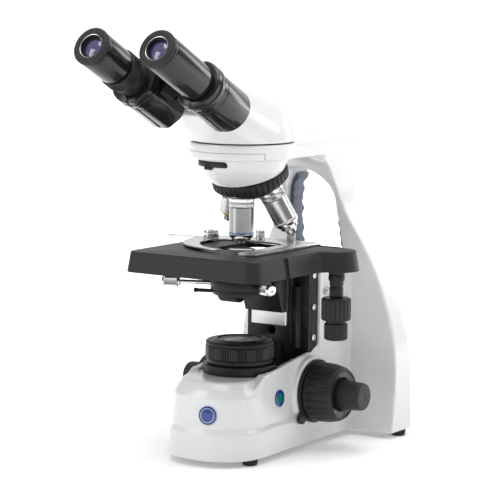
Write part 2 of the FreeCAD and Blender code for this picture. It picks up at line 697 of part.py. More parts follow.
def column_stud():
    stud = rod(4.0, 3.0, V(COLUMN_HALF, 86.0, 140.0), X_AXIS)
    return stud.fuse(rod(2.6, 1.2, V(COLUMN_HALF + 3, 86.0, 140.0), X_AXIS))


save("base_plates", Part.makeCompound([base_plate(), rear_plate()]))
save("feet", feet())
save("badges", Part.makeCompound([badge(8.2, V(12.0, -66.5, 46.0), V(0.2, -1.0, 0.05)),
                                  badge(7.6, V(38.9, 3.4, 53.5), V(1.0, 0.04, 0.05))]))
save("flange", flange())
save("field_ring", field_ring())
save("lamp_unit", lamp_heatsink().fuse(lamp_module()).removeSplitter())
save("lamp_lenses", Part.makeCompound([field_lens(), collector_lens()]))
save("circuit_board", circuit_board())
save("power_inlet", power_inlet())
save("switch_rocker", switch_rocker())
save("brightness_dial", brightness_dial())
save("hand_grips", both_sides(grip_right()))


# ---- focusing -----------------------------------------------------------------------------------
def focus_rail():
    """Black rail on the front of the column, with a guide cheek on each side of the carrier."""
    rail = box(-RAIL_HALF, RAIL_HALF, RAIL_FRONT, RAIL_BACK, DECK_Z, COLUMN_TOP)
    rail = rail.cut(box(-7, 7, 50, 71.5, 70, 170))
    rail = rail.fuse(both_sides(box(CARRIER_HALF + GAP, CARRIER_HALF + 4.5, 54.0, RAIL_FRONT, 90.0, 146.0)))
    for z in SCREW_LEVELS:
        for side in (-1, 1):
            rail = rail.cut(rod(1.6, 12.0, V(side * RAIL_HALF, 69.5, z), V(-side, 0, 0)))
    return rail


def rail_screws():
    screws = []
    for z in SCREW_LEVELS:
        for side in (-1, 1):
            head = rod(2.9, 1.4, V(side * RAIL_HALF, 69.5, z), V(side, 0, 0))
            shank = rod(1.6, 10.0, V(side * RAIL_HALF, 69.5, z), V(-side, 0, 0))
            screws.append(head.fuse(shank))
    return screws


def carrier():
    """Block that slides on the rail, with the rack that hangs from it past the pinion."""
    block = box(-CARRIER_HALF, CARRIER_HALF, CARRIER_FRONT, RAIL_FRONT - GAP, 93.0, FRAME_LOW)
    block = block.cut(rod(4.0, 12.0, V(0, CARRIER_FRONT - 1, 105.0), Y_AXIS))
    rack = box(-5, 5, RAIL_FRONT - GAP, 70.0, 100.0, 150.0)
    return fuse([block, rack, focus_rack()])


def focus_rack():
    """Toothed bar that hangs from the carrier past the pinion."""
    bar = box(-5, 5, 65.2, 70.0, 36.0, 100.0)
    for i in range(40):
        z = 38.0 + i * RACK_PITCH
        bar = bar.fuse(box(-5, 5, 64.2, 65.2, z, z + RACK_PITCH / 2))
    return bar.removeSplitter()


def knob_axis(shape_x, side):
    return V(side * shape_x, KNOB_Y, KNOB_Z), V(side, 0, 0)


def coarse_sleeve():
    start, axis = knob_axis(KNOB_START, -1)
    sleeve = rod(SLEEVE_R, 2 * KNOB_START, start, axis * -1)
    pinion = rod(PINION_R, 12.0, V(-6, KNOB_Y, KNOB_Z), X_AXIS)
    for i in range(18):
        a = 2 * pi * i / 18
        notch = rod(0.55, 14.0, V(-7, KNOB_Y + PINION_R * cos(a), KNOB_Z + PINION_R * sin(a)), X_AXIS)
        pinion = pinion.cut(notch)
    body = sleeve.fuse(pinion)
    return body.cut(rod(SHAFT_R + FIT, 2 * KNOB_START + 2, V(-KNOB_START - 1, KNOB_Y, KNOB_Z), X_AXIS))


def sleeve_bush(side):
    """Bush that carries the focus sleeve in the wall of the base; the left one has a cover flange."""
    start, axis = knob_axis(30.0, side)
    bush = pipe(KNOB_BORE, SLEEVE_R + FIT, 12.5, start, axis)
    reach = 28.8 if side < 0 else TENSION_BORE
    collar = pipe(reach, SLEEVE_R + FIT, 3.0, start + axis * 12.5, axis)
    return bush.fuse(collar).removeSplitter()


def coarse_knob(side):
    """Coarse knob: a short drum with broad flutes that narrows towards its face."""
    start, axis = knob_axis(KNOB_START, side)
    knob = turned([(0, 0), (26.5, 0), (27.0, 2.0), (26.6, 14.0), (24.8, 24.0), (23.6, 26.5), (22.4, 28.0),
                   (21.6, 26.4), (14.0, 26.4), (14.0, 22.0), (0, 22.0)], start, axis)
    for x, y in ring_of(24, 27.9):
        groove = rod(1.5, 18.0, V(x, y, 4.0))
        groove.Placement = FreeCAD.Placement(start, FreeCAD.Rotation(Z_AXIS, axis)).multiply(groove.Placement)
        knob = knob.cut(groove)
    return knob.cut(rod(SHAFT_R + FIT, 60.0, start - axis, axis))


def fine_knob(side):
    start, axis = knob_axis(KNOB_START + 22.4, side)
    profile = [(0, 0), (13.4, 0), (13.4, 6.0), (14.0, 8.0), (12.6, 25.0), (11.6, 27.0), (0, 27.0)]
    knob = turned(profile, start, axis)
    return knob.cut(rod(SHAFT_R, 20.0, start - axis, axis))


def fine_shaft():
    reach = KNOB_START + 22.4 + 19.0
    return rod(SHAFT_R, 2 * reach, V(-reach, KNOB_Y, KNOB_Z), X_AXIS)


def tension_ring():
    """Friction adjuster behind the right coarse knob, with its finger lever."""
    start, axis = knob_axis(42.8, 1)
    bore = TENSION_BORE + FIT
    ring = pipe(28.8, bore, 2.9, start, axis)
    lever = box(42.8, 45.7, KNOB_Y - 5.5, KNOB_Y + 5.5, KNOB_Z - 31.5, KNOB_Z - 25.0)
    lever = lever.fuse(rod(5.5, 2.9, V(42.8, KNOB_Y, KNOB_Z - 31.5), X_AXIS))
    ring = ring.fuse(lever).cut(rod(bore, 10.0, V(40, KNOB_Y, KNOB_Z), X_AXIS))
    ring.rotate(V(0, KNOB_Y, KNOB_Z), X_AXIS, -47)
    return ring.removeSplitter()


save("focus_rail", focus_rail())
save("column_screws", Part.makeCompound(rail_screws() + [column_stud()]))
save("carrier", carrier())
save("coarse_sleeve", coarse_sleeve())
save("sleeve_bushes", Part.makeCompound([sleeve_bush(-1), sleeve_bush(1)]))
save("coarse_knobs", Part.makeCompound([coarse_knob(-1), coarse_knob(1)]))
save("fine_knobs", Part.makeCompound([fine_knob(-1), fine_knob(1)]))
save("fine_shaft", fine_shaft())
save("tension_ring", tension_ring())


# ---- stage ----------------------------------------------------------------------------------------


def rounded_plan(x0, x1, y0, y1, r, z0, height):
    """A rectangle with round front corners."""
    plan = box(x0, x1, y0 + r, y1, z0, z0 + height)
    plan = plan.fuse(box(x0 + r, x1 - r, y0, y0 + r, z0, z0 + height))
    for x in (x0 + r, x1 - r):
        plan = plan.fuse(rod(r, height, V(x, y0 + r, z0)))
    return plan.removeSplitter()


def stage_outline(inset, z0, height):
    plan = rounded_plan(STAGE_LEFT + inset, STAGE_RIGHT - inset, STAGE_FRONT + inset, STAGE_BACK,
                        12.0 - inset, z0, height)
    ear = rod(EAR_R - inset, height, V(CONTROL_X, CONTROL_Y, z0))
    web_points = [(STAGE_RIGHT - 20, STAGE_BACK), (CONTROL_X, STAGE_BACK + 2 - inset),
                  (CONTROL_X + EAR_R - 6 - inset, CONTROL_Y - 10),
                  (STAGE_RIGHT - inset, CONTROL_Y - 26 + inset),
                  (STAGE_RIGHT - 20, CONTROL_Y - 20)]
    web = outline(web_points, z0, height)
    return plan.fuse(ear).fuse(web).removeSplitter()


def stage_plate():
    """Moving top of the stage: a plate with a deep skirt, open at the back."""
    body = stage_outline(0.0, STAGE_BOTTOM, STAGE_TOP - STAGE_BOTTOM)
    hollow = stage_outline(SKIRT_T, STAGE_BOTTOM - 1, STAGE_TOP - SKIN_T - STAGE_BOTTOM + 1)
    hollow = hollow.fuse(box(STAGE_LEFT + SKIRT_T, STAGE_RIGHT - SKIRT_T, 0, STAGE_BACK + 5, STAGE_BOTTOM - 1,
                             STAGE_TOP - SKIN_T))
    hollow = hollow.cut(rod(11.0, 30.0, V(CONTROL_X, CONTROL_Y, STAGE_BOTTOM - 2)))
    body = body.cut(hollow)
    slot = box(-19, 19, -3, 35, 160, 200).fuse(rod(19.0, 40.0, V(0, -3, 160.0)))
    slot = slot.fuse(rod(19.0, 40.0, V(0, 31, 160.0)))
    body = body.cut(slot)
    body = body.cut(box(STAGE_RIGHT - 2.0, STAGE_RIGHT + 5, -38, -31, 150, STAGE_TOP - 1.5))
    body = body.cut(box(STAGE_LEFT + 6, -34, STAGE_FRONT - 5, STAGE_FRONT + 10, 150, STAGE_BOTTOM + 4))
    body = body.cut(box(-66, 70, GROOVE_Y - 2.8, GROOVE_Y + 2.9, STAGE_TOP - 3.0, STAGE_TOP + 1))
    return body.fuse(control_tube()).cut(rod(CONTROL_SHAFT_R + FIT, 51.0, V(CONTROL_X, CONTROL_Y, 130.0)))


def x_rail():
    """Guide strip in the groove along the back of the stage, on which the specimen holder travels."""
    return box(-66, 70, GROOVE_Y - 0.8, GROOVE_Y + 0.8, STAGE_TOP - 3.0, STAGE_TOP - 0.9)


def stage_frame():
    """Fixed lower plate of the stage, bolted on the carrier, with its two bearing bars."""
    plate = box(-50, 50, -66, CARRIER_FRONT, FRAME_LOW, FRAME_LOW + FRAME_T)
    plate = plate.fuse(box(-CARRIER_HALF, CARRIER_HALF, CARRIER_FRONT, RAIL_FRONT - GAP,
                           FRAME_LOW, FRAME_LOW + FRAME_T))
    plate = plate.cut(rod(32.0, 20.0, V(0, 0, 160.0)))
    bar = box(42, 48, -64, 50, FRAME_LOW + FRAME_T, STAGE_TOP - SKIN_T - GAP)
    return fuse([plate, bar, mirrored(bar)])


def control_tube():
    """Fixed sleeve of the stage drive under the ear."""
    tube = rod(6.0, 24.2, V(CONTROL_X, CONTROL_Y, 143.3)).fuse(rod(7.3, 9.0, V(CONTROL_X, CONTROL_Y, 158.5)))
    return tube.cut(rod(CONTROL_SHAFT_R + FIT, 60.0, V(CONTROL_X, CONTROL_Y, 130.0)))


def fluted_knob(r, low, high, bore, flutes):
    knob = turned([(bore, low), (r - 1, low), (r, low + 1.0), (r, high - 1.0), (r - 1, high), (bore, high)],
                  V(CONTROL_X, CONTROL_Y, 0))
    for x, y in ring_of(flutes, r + 0.5):
        knob = knob.cut(rod(1.0, high - low, V(CONTROL_X + x, CONTROL_Y + y, low)))
    return knob


def depth_knob():
    """Upper knob of the stage drive: moves the plate back and forth."""
    return fluted_knob(13.3, 122.5, 143.0, CONTROL_SHAFT_R + FIT, 30)


def width_knob():
    """Lower knob of the stage drive with its shaft: moves the specimen holder sideways."""
    knob = fluted_knob(10.5, 105.0, 122.2, 0.0, 24)
    return knob.fuse(rod(CONTROL_SHAFT_R, 58.5, V(CONTROL_X, CONTROL_Y, 122.0))).removeSplitter()


def holder_plate():
    """Flat L of the specimen holder: a fixed jaw along the right and a bar across the back."""
    points = [(30, -50), (46, -50), (48, -48), (48, 57), (-34, 57), (-34, 36), (18, 30), (30, 22)]
    plate = outline(points, HOLDER_LOW, HOLDER_T)
    step = box(26.5, 30.0, -14, 14, HOLDER_LOW, HOLDER_LOW + 1.2)
    bridge = [(-33, 57), (-56, 57), (-58, 30), (-56, 20), (-44, 20), (-42, 34), (-33, 36)]
    arm = outline(bridge, HOLDER_LOW, BRIDGE_T)
    pin = rod(FINGER_PIN_R, 8.5, V(FINGER_X, FINGER_Y, HOLDER_LOW + BRIDGE_T))
    return fuse([plate, step, arm, pin])


def holder_carriage():
    """Shoe under the holder's plate that straddles the guide strip in the stage's groove."""
    shoe = box(-26, 30, GROOVE_Y - 2.5, GROOVE_Y + 2.5, STAGE_TOP - 2.6, HOLDER_LOW)
    return shoe.cut(box(-30, 34, GROOVE_Y - 1.1, GROOVE_Y + 1.1, STAGE_TOP - 4.0, STAGE_TOP - 0.6))


HOLDER_SCREWS = ((-10.0, 46.0), (23.0, 46.0))


def holder_screws():
    screws = []
    for x, y in HOLDER_SCREWS:
        low = HOLDER_LOW + HOLDER_T
        head = rod(4.2, 7.5, V(x, y, low))
        for dx, dy in ring_of(16, 4.5):
            head = head.cut(rod(0.5, 6.0, V(x + dx, y + dy, low + 1.5)))
        screws.append(head)
    return screws


def arc_edge(a, b, c):
    return Part.Arc(V(*a), V(*b), V(*c)).toShape()


def slide_finger():
    """Crescent finger that presses the slide, with a thumb lever at its other end."""
    low = HOLDER_LOW + BRIDGE_T + GAP
    tip = (4, -45, low)
    lever = (-95.4, 18, low)
    edges = [arc_edge(lever, (-78, 20, low), (-61, 20, low)),
             arc_edge((-61, 20, low), (-44, -26, low), tip),
             Part.makeLine(V(*tip), V(7, -41, low)),
             arc_edge((7, -41, low), (-33, -17, low), (-42, 24, low)),
             arc_edge((-42, 24, low), (-48, 33, low), (-57, 31, low)),
             arc_edge((-57, 31, low), (-76, 25, low), (-95.4, 22.5, low)),
             Part.makeLine(V(-95.4, 22.5, low), V(*lever))]
    finger = Part.Face(Part.Wire(edges)).extrude(V(0, 0, 1.4))
    return finger.cut(rod(FINGER_PIN_R + FIT, 20.0, V(FINGER_X, FINGER_Y, 180.0)))


def finger_nut():
    top = HOLDER_LOW + BRIDGE_T + 2 * GAP + 1.4
    nut = pipe(7.2, FINGER_PIN_R, 6.0, V(FINGER_X, FINGER_Y, top))
    for dx, dy in ring_of(24, 7.5):
        nut = nut.cut(rod(0.5, 6.0, V(FINGER_X + dx, FINGER_Y + dy, top)))
    return nut


save("stage_plate", stage_plate())
save("x_rail", x_rail())
save("stage_frame", stage_frame())
save("depth_knob", depth_knob())
save("width_knob", width_knob())
save("holder_plate", holder_plate())
save("holder_carriage", holder_carriage())
save("holder_screws", Part.makeCompound(holder_screws() + [finger_nut()]))
save("slide_finger", slide_finger())


# ---- condenser --------------------------------------------------------------------------------------


def condenser_mount():
    """Ring and bracket that carry the condenser, with the slanted foot below."""
    ring = pipe(MOUNT_R, CONDENSER_R + FIT, 8.0, V(0, 0, 149.0))
    profile = [(24.0, 149.0), (24.0, 157.0), (45.4, 157.0), (45.4, 124.0), (38.0, 124.0), (30.0, 146.0)]
    wire = Part.makePolygon([V(-CARRIER_HALF, y, z) for y, z in profile + profile[:1]])
    bracket = Part.Face(wire).extrude(V(2 * CARRIER_HALF, 0, 0))
    bracket = bracket.cut(rod(CONDENSER_R + FIT, 60.0, V(0, 0, 110.0)))
    body = ring.fuse(bracket)
    for x, y in CENTRING_DIRS:
        start = V(x * (MOUNT_R - 8), y * (MOUNT_R - 8), 153.0)
        body = body.cut(rod(CENTRING_R + FIT, 20.0, start, V(x, y, 0)))
    body = body.cut(rod(SHAFT_R + FIT, 20.0, V(-30, PINION_Y, 138.0), X_AXIS))
    return body.removeSplitter()


CENTRING_DIRS = ((cos(radians(-22)), sin(radians(-22))), (cos(radians(202)), sin(radians(202))))


def condenser_slide():
    """Aluminium slide plate behind the condenser bracket."""
    return box(-CARRIER_HALF + 2, CARRIER_HALF - 2, 45.4, CARRIER_FRONT - GAP, 111.0, 157.0)


def condenser_body():
    return turned([(10.5, 184.0), (12.0, 184.6), (13.5, 182.0), (15.5, 174.0), (CONDENSER_R, 170.0),
                   (CONDENSER_R, 143.0), (15.0, 143.0), (15.0, 172.0), (10.5, 180.0)])


def condenser_lenses():
    return Part.makeCompound([rod(10.4, 4.0, V(0, 0, 180.2)), rod(14.9, 3.0, V(0, 0, 160.0))])


def iris_ring():
    """Ring of the aperture diaphragm with its lever."""
    ring = pipe(24.6, CONDENSER_R + FIT, 4.2, V(0, 0, 144.2))
    lever = rod(1.7, 17.0, V(-24.0 * 0.84, -24.0 * 0.54, 146.4), V(-0.84, -0.54, 0.04))
    lever = lever.fuse(Part.makeSphere(2.2, V(-40.0 * 0.84, -40.0 * 0.54, 147.0)))
    return ring.fuse(lever).cut(rod(CONDENSER_R + FIT, 20.0, V(0, 0, 138.0)))


def centring_screw(index, knob_start, knob_end, knob_r):
    x, y = CENTRING_DIRS[index]
    axis = V(x, y, 0)
    origin = V(0, 0, 153.0)
    shaft = rod(CENTRING_R, knob_start - CONDENSER_R - 0.6, origin + axis * (CONDENSER_R + 0.6), axis)
    knob = rod(knob_r, knob_end - knob_start, origin + axis * knob_start, axis)
    return shaft.fuse(knob).removeSplitter()


def condenser_knob():
    knob = rod(9.0, 22.0, V(-46.0, PINION_Y, 138.0), X_AXIS)
    for y, z in ring_of(20, 9.4):
        knob = knob.cut(rod(0.9, 22.0, V(-46.0, PINION_Y + y, 138.0 + z), X_AXIS))
    return knob.fuse(rod(SHAFT_R, 14.0, V(-24.5, PINION_Y, 138.0), X_AXIS)).removeSplitter()


save("condenser_mount", condenser_mount())
save("condenser_slide", condenser_slide())
save("condenser_body", condenser_body())
save("condenser_lenses", condenser_lenses())
save("iris_ring", iris_ring())
save("centring_screw_right", centring_screw(0, 33.0, 48.5, 5.6))
save("centring_screw_left", centring_screw(1, 57.0, 72.0, 5.2))
save("condenser_knob", condenser_knob())

os.makedirs("parts", exist_ok=True)
for name, shape in NODES.items():
    shape.exportStep("parts/" + name + ".step")
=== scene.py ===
from math import sin, cos, tan, pi, radians, sqrt
import bpy
import bmesh
from mathutils import Vector, Matrix


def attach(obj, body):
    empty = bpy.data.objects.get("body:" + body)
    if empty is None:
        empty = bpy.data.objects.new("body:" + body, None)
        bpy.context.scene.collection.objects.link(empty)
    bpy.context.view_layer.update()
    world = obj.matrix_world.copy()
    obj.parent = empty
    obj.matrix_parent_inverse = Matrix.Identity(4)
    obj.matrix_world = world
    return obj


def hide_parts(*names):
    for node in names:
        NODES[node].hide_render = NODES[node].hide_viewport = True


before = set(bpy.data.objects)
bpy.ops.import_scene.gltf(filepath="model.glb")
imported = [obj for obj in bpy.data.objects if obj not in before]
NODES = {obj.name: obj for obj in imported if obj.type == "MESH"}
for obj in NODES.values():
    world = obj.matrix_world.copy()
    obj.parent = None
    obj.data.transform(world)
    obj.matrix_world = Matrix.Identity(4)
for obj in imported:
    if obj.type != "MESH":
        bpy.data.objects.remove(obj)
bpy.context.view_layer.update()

# Shapes are drawn in millimetres about the optical axis, z = 0 on the bench, as the CAD part is.
MM = 0.001
OPTIC_Y = 9.9
X = Vector((1, 0, 0))
Z = Vector((0, 0, 1))
SIDES = ((-1, "left"), (1, "right"))


def P(x, y, z):
    """A place or direction in the drawing's millimetres."""
    return Vector((x, y, z))


def row(p):
    """The same place in the frame's metres."""
    return Vector((p[0] * MM, (p[1] + OPTIC_Y) * MM, p[2] * MM))


# ---- materials -----------------------------------------------------------------------------------
DARK = 0.03              # blacks below this colour value get the weaker specular level
DARK_SPECULAR = 0.3
PLAIN_SPECULAR = 0.5


def new_material(name, base, rough, metallic=0.0, coat=0.0, coat_rough=0.1, spec=None):
    """A principled material with its fixed values set."""
    mat = bpy.data.materials.new(name)
    mat.use_nodes = True
    mat.diffuse_color = (*base, 1.0)
    tree = mat.node_tree
    bsdf = tree.nodes["Principled BSDF"]
    bsdf.inputs["Base Color"].default_value = (*base, 1.0)
    bsdf.inputs["Roughness"].default_value = rough
    bsdf.inputs["Metallic"].default_value = metallic
    bsdf.inputs["Coat Weight"].default_value = coat
    bsdf.inputs["Coat Roughness"].default_value = coat_rough
    if spec is None:
        spec = DARK_SPECULAR if max(base) < DARK else PLAIN_SPECULAR
    bsdf.inputs["Specular IOR Level"].default_value = spec
    return mat, tree, bsdf


def add(tree, kind, **values):
    """A new node with its settings."""
    node = tree.nodes.new(kind)
    for key, value in values.items():
        setattr(node, key, value)
    return node


def noise(tree, scale, detail=3.0, rough=0.55, stretch=(1, 1, 1)):
    """Noise over the object's own coordinates, in metres."""
    coords = add(tree, "ShaderNodeTexCoord")
    place = add(tree, "ShaderNodeMapping")
    place.inputs["Scale"].default_value = stretch
    tree.links.new(coords.outputs["Object"], place.inputs["Vector"])
    node = add(tree, "ShaderNodeTexNoise")
    node.inputs["Scale"].default_value = scale
    node.inputs["Detail"].default_value = detail
    node.inputs["Roughness"].default_value = rough
    tree.links.new(place.outputs["Vector"], node.inputs["Vector"])
    return node.outputs["Fac"]


def ramp(tree, source, stops):
    """Colours along a value, as (place, colour) stops."""
    node = add(tree, "ShaderNodeValToRGB")
    bar = node.color_ramp.elements
    while len(bar) < len(stops):
        bar.new(0.5)
    for element, (at, colour) in zip(bar, stops):
        element.position = at
        element.color = (*colour, 1.0)
    tree.links.new(source, node.inputs["Fac"])
    return node.outputs["Color"]


def spread(tree, source, low, high, out_low, out_high):
    """Maps a value from one range to another."""
    node = add(tree, "ShaderNodeMapRange")
    for key, value in zip(("From Min", "From Max", "To Min", "To Max"), (low, high, out_low, out_high)):
        node.inputs[key].default_value = value
    tree.links.new(source, node.inputs["Value"])
    return node.outputs["Result"]


def bump(tree, bsdf, source, strength, depth):
    """Fine relief on a surface, its depth in metres."""
    node = add(tree, "ShaderNodeBump")
    node.inputs["Strength"].default_value = strength
    node.inputs["Distance"].default_value = depth
    tree.links.new(source, node.inputs["Height"])
    tree.links.new(node.outputs["Normal"], bsdf.inputs["Normal"])


BLOTCH = 25.0            # scale of the broad unevenness in tone
GRAIN_STRENGTH = 0.25


def surface(name, base, rough, vary=0.15, grain=900.0, grain_depth=0.00003, tint=0.06, stretch=(1, 1, 1), **kw):
    """A finish with uneven tone and gloss and a fine grain."""
    mat, tree, bsdf = new_material(name, base, rough, **kw)
    broad = noise(tree, BLOTCH)
    low = [max(0.0, c * (1.0 - tint)) for c in base]
    high = [min(1.0, c * (1.0 + tint)) for c in base]
    tree.links.new(ramp(tree, broad, [(0.3, low), (0.7, high)]), bsdf.inputs["Base Color"])
    fine = noise(tree, grain, stretch=stretch)
    tree.links.new(spread(tree, fine, 0.3, 0.7, rough * (1 - vary), min(1.0, rough * (1 + vary))),
                   bsdf.inputs["Roughness"])
    bump(tree, bsdf, fine, GRAIN_STRENGTH, grain_depth)
    return mat


ENAMEL = surface("white_enamel", (0.74, 0.745, 0.75), 0.32, vary=0.12, grain=420.0, grain_depth=0.00002,
                 tint=0.008, coat=0.6, coat_rough=0.09)
BLACK_PAINT = surface("black_paint", (0.011, 0.011, 0.012), 0.42, grain=1600.0, grain_depth=0.00004)
TUBE_BLACK = surface("tube_black", (0.009, 0.009, 0.010), 0.22, vary=0.2, grain=700.0, grain_depth=0.000015,
                     coat=0.35, coat_rough=0.12)
CRINKLE = surface("housing_black", (0.012, 0.012, 0.013), 0.5, grain=1500.0, grain_depth=0.00004)
STAGE_BLACK = surface("stage_black", (0.018, 0.018, 0.019), 0.48, grain=2200.0, grain_depth=0.00004)
KNOB_GREY = surface("knob_plastic", (0.019, 0.019, 0.020), 0.42, grain=1400.0, grain_depth=0.00005)
RUBBER = surface("eyecup_rubber", (0.022, 0.022, 0.023), 0.62, grain=1200.0, grain_depth=0.00005)
FOOT_RUBBER = surface("foot_rubber", (0.02, 0.02, 0.021), 0.7, grain=900.0, grain_depth=0.00006)
GRIP_RUBBER = surface("grip_rubber", (0.085, 0.11, 0.155), 0.5, grain=800.0, grain_depth=0.00005)
CHROME = surface("chrome", (0.70, 0.70, 0.69), 0.12, vary=0.3, grain=300.0, grain_depth=0.000006, metallic=1.0,
                 tint=0.02)
SATIN_CHROME = surface("satin_chrome", (0.50, 0.50, 0.495), 0.24, vary=0.25, grain=1200.0, grain_depth=0.00001,
                       metallic=1.0, tint=0.03, stretch=(1, 1, 14))
STEEL = surface("brushed_steel", (0.62, 0.62, 0.62), 0.30, vary=0.35, grain=1500.0, grain_depth=0.00002,
                metallic=1.0, tint=0.03, stretch=(1, 0.05, 1))
ALUMINIUM = surface("aluminium", (0.62, 0.63, 0.64), 0.36, grain=1300.0, grain_depth=0.00002, metallic=1.0,
                    stretch=(0.06, 1, 1))
BOARD = surface("circuit_board", (0.02, 0.15, 0.06), 0.4, coat=0.3)
BAND_BLUE = surface("band_blue", (0.03, 0.22, 0.62), 0.35, coat=0.5)
BAND_YELLOW = surface("band_yellow", (0.85, 0.48, 0.03), 0.35, coat=0.5)
BAND_RED = surface("band_red", (0.62, 0.04, 0.03), 0.35, coat=0.5)
BAND_WHITE = surface("band_white", (0.8, 0.8, 0.78), 0.35, coat=0.5)
BADGE_BLUE = surface("badge_blue", (0.012, 0.045, 0.24), 0.25, coat=0.6)
BADGE_GREEN = surface("badge_green", (0.0, 0.18, 0.17), 0.25, coat=0.6)
# painted shade: the mid grey of the shadow inside the stand's seams
SEAM_SHADE = surface("seam_shadow", (0.16, 0.16, 0.165), 0.6)


def lens_material(name, low, high):
    """Coated glass, darker where it turns away from the eye."""
    rough = 0.04
    mat, tree, bsdf = new_material(name, low, rough, coat=1.0, coat_rough=0.02, spec=0.8)
    edge = add(tree, "ShaderNodeLayerWeight")
    edge.inputs["Blend"].default_value = 0.35
    tree.links.new(ramp(tree, edge.outputs["Facing"], [(0.05, low), (0.75, high)]), bsdf.inputs["Base Color"])
    fine = noise(tree, 60.0)
    tree.links.new(spread(tree, fine, 0.3, 0.7, rough * 0.7, rough * 1.6), bsdf.inputs["Roughness"])
    return mat


LENS = lens_material("coated_lens", (0.06, 0.05, 0.16), (0.015, 0.01, 0.03))
FROSTED = surface("frosted_glass", (0.42, 0.43, 0.42), 0.38, grain=2500.0, coat=0.4, tint=0.04)
PRISM = lens_material("prism_glass", (0.5, 0.55, 0.56), (0.3, 0.34, 0.35))


# ---- mesh helpers --------------------------------------------------------------------------------
def settle(name, mesh, body, gone=()):
    """Puts a mesh on its body, in the place of the CAD nodes in gone."""
    obj = bpy.data.objects.new(name, mesh)
    bpy.context.scene.collection.objects.link(obj)
    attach(obj, body)
    if gone:
        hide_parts(*gone)


def piece(name, verts, faces, mats, body, gone=(), slots=None, sharp=38.0):
    """A piece from points in millimetres; slots gives each face's material, sharp the crease angle."""
    mesh = bpy.data.meshes.new(name)
    mesh.from_pydata([tuple(row(v)) for v in verts], [], faces)
    for mat in mats if isinstance(mats, (list, tuple)) else [mats]:
        mesh.materials.append(mat)
    if slots:
        mesh.polygons.foreach_set("material_index", slots)
    mesh.validate()
    bm = bmesh.new()
    bm.from_mesh(mesh)
    bmesh.ops.recalc_face_normals(bm, faces=bm.faces)
    bm.to_mesh(mesh)
    bm.free()
    mesh.shade_smooth()
    mesh.set_sharp_from_angle(angle=radians(sharp))
    settle(name, mesh, body, gone)


STRAIGHT = -0.985        # a corner flatter than this stays as it is
TINY = 1e-6


def soften(points, r, steps=3):
    """Rounds the corners of a closed outline of (radius, height, rib depth) points, off the axis only."""
    pts = [(p[0], p[1], p[2] if len(p) > 2 else 0.0) for p in points]
    out = []
    n = len(pts)
    for i, p in enumerate(pts):
        a, b = pts[i - 1], pts[(i + 1) % n]
        if p[0] < TINY or r <= 0:
            out.append(p)
            continue
        d1 = Vector((a[0] - p[0], a[1] - p[1]))
        d2 = Vector((b[0] - p[0], b[1] - p[1]))
        if d1.length < TINY or d2.length < TINY or d1.normalized().dot(d2.normalized()) < STRAIGHT:
            out.append(p)
            continue
        cut = min(r, d1.length * 0.42, d2.length * 0.42)
        s = (p[0] + d1.normalized().x * cut, p[1] + d1.normalized().y * cut)
        e = (p[0] + d2.normalized().x * cut, p[1] + d2.normalized().y * cut)
        for k in range(steps + 1):
            t = k / steps
            u = 1 - t
            out.append((u * u * s[0] + 2 * u * t * p[0] + t * t * e[0],
                        u * u * s[1] + 2 * u * t * p[1] + t * t * e[1], p[2]))
    return out


def lathe(name, profile, base, axis, mats, body, gone=(), seg=96, r=0.25, ribs=None, bands=(),
          sharp=38.0):
    """A turned piece. Profile points are (radius, height, rib depth); ribs(angle) runs from 0 to 1.

    Bands are (low, high, material number) between two heights.
    """
    pts = soften(profile, r)
    axis = Vector(axis).normalized()
    rot = axis.to_track_quat("Z", "Y")
    open_line = pts[0][0] < TINY and pts[-1][0] < TINY
    verts, faces, slots = [], [], []
    rings = []
    for rad, h, depth in pts:
        if rad < TINY:
            rings.append([len(verts)])
            verts.append(base + rot @ Vector((0, 0, h)))
            continue
        ring = []
        for k in range(seg):
            a = 2 * pi * k / seg
            rr = rad - (depth * ribs(a) if ribs and depth else 0.0)
            ring.append(len(verts))
            verts.append(base + rot @ Vector((rr * cos(a), rr * sin(a), h)))
        rings.append(ring)
    last = len(rings) - 1 if open_line else len(rings)
    for i in range(last):
        a, b = rings[i], rings[(i + 1) % len(rings)]
        mid = (pts[i][1] + pts[(i + 1) % len(pts)][1]) / 2
        mid_r = (pts[i][0] + pts[(i + 1) % len(pts)][0]) / 2
        index = 0
        for low, high, number in bands:
            if low <= mid <= high and mid_r > 0.2:
                index = number
        for k in range(seg):
            k2 = (k + 1) % seg
            if len(a) == 1 and len(b) == 1:
                continue
            if len(a) == 1:
                faces.append((a[0], b[k], b[k2]))
            elif len(b) == 1:
                faces.append((a[k], b[0], a[k2]))
            else:
                faces.append((a[k], b[k], b[k2], a[k2]))
            slots.append(index)
    piece(name, verts, faces, mats, body, gone, slots=slots, sharp=sharp)


def flutes(count, wide=0.5, soft=0.12):
    """Rib shape round a knob: 1 in the grooves, 0 on the lands."""
    def depth(angle):
        t = (angle * count / (2 * pi)) % 1.0
        edge = min(t, 1.0 - t) * 2
        x = (edge - (1 - wide)) / soft
        return max(0.0, min(1.0, x + 0.5))
    return depth


def loft(name, loops, mat, body, gone=(), sharp=38.0):
    """Skins closed loops of equal length, with flat ends."""
    verts, faces = [], []
    n = len(loops[0])
    for loop in loops:
        verts.extend(loop)
    for i in range(len(loops) - 1):
        for k in range(n):
            k2 = (k + 1) % n
            faces.append((i * n + k, i * n + k2, (i + 1) * n + k2, (i + 1) * n + k))
    faces.append(tuple(range(n))[::-1])
    faces.append(tuple((len(loops) - 1) * n + k for k in range(n)))
    piece(name, verts, faces, mat, body, gone, sharp=sharp)


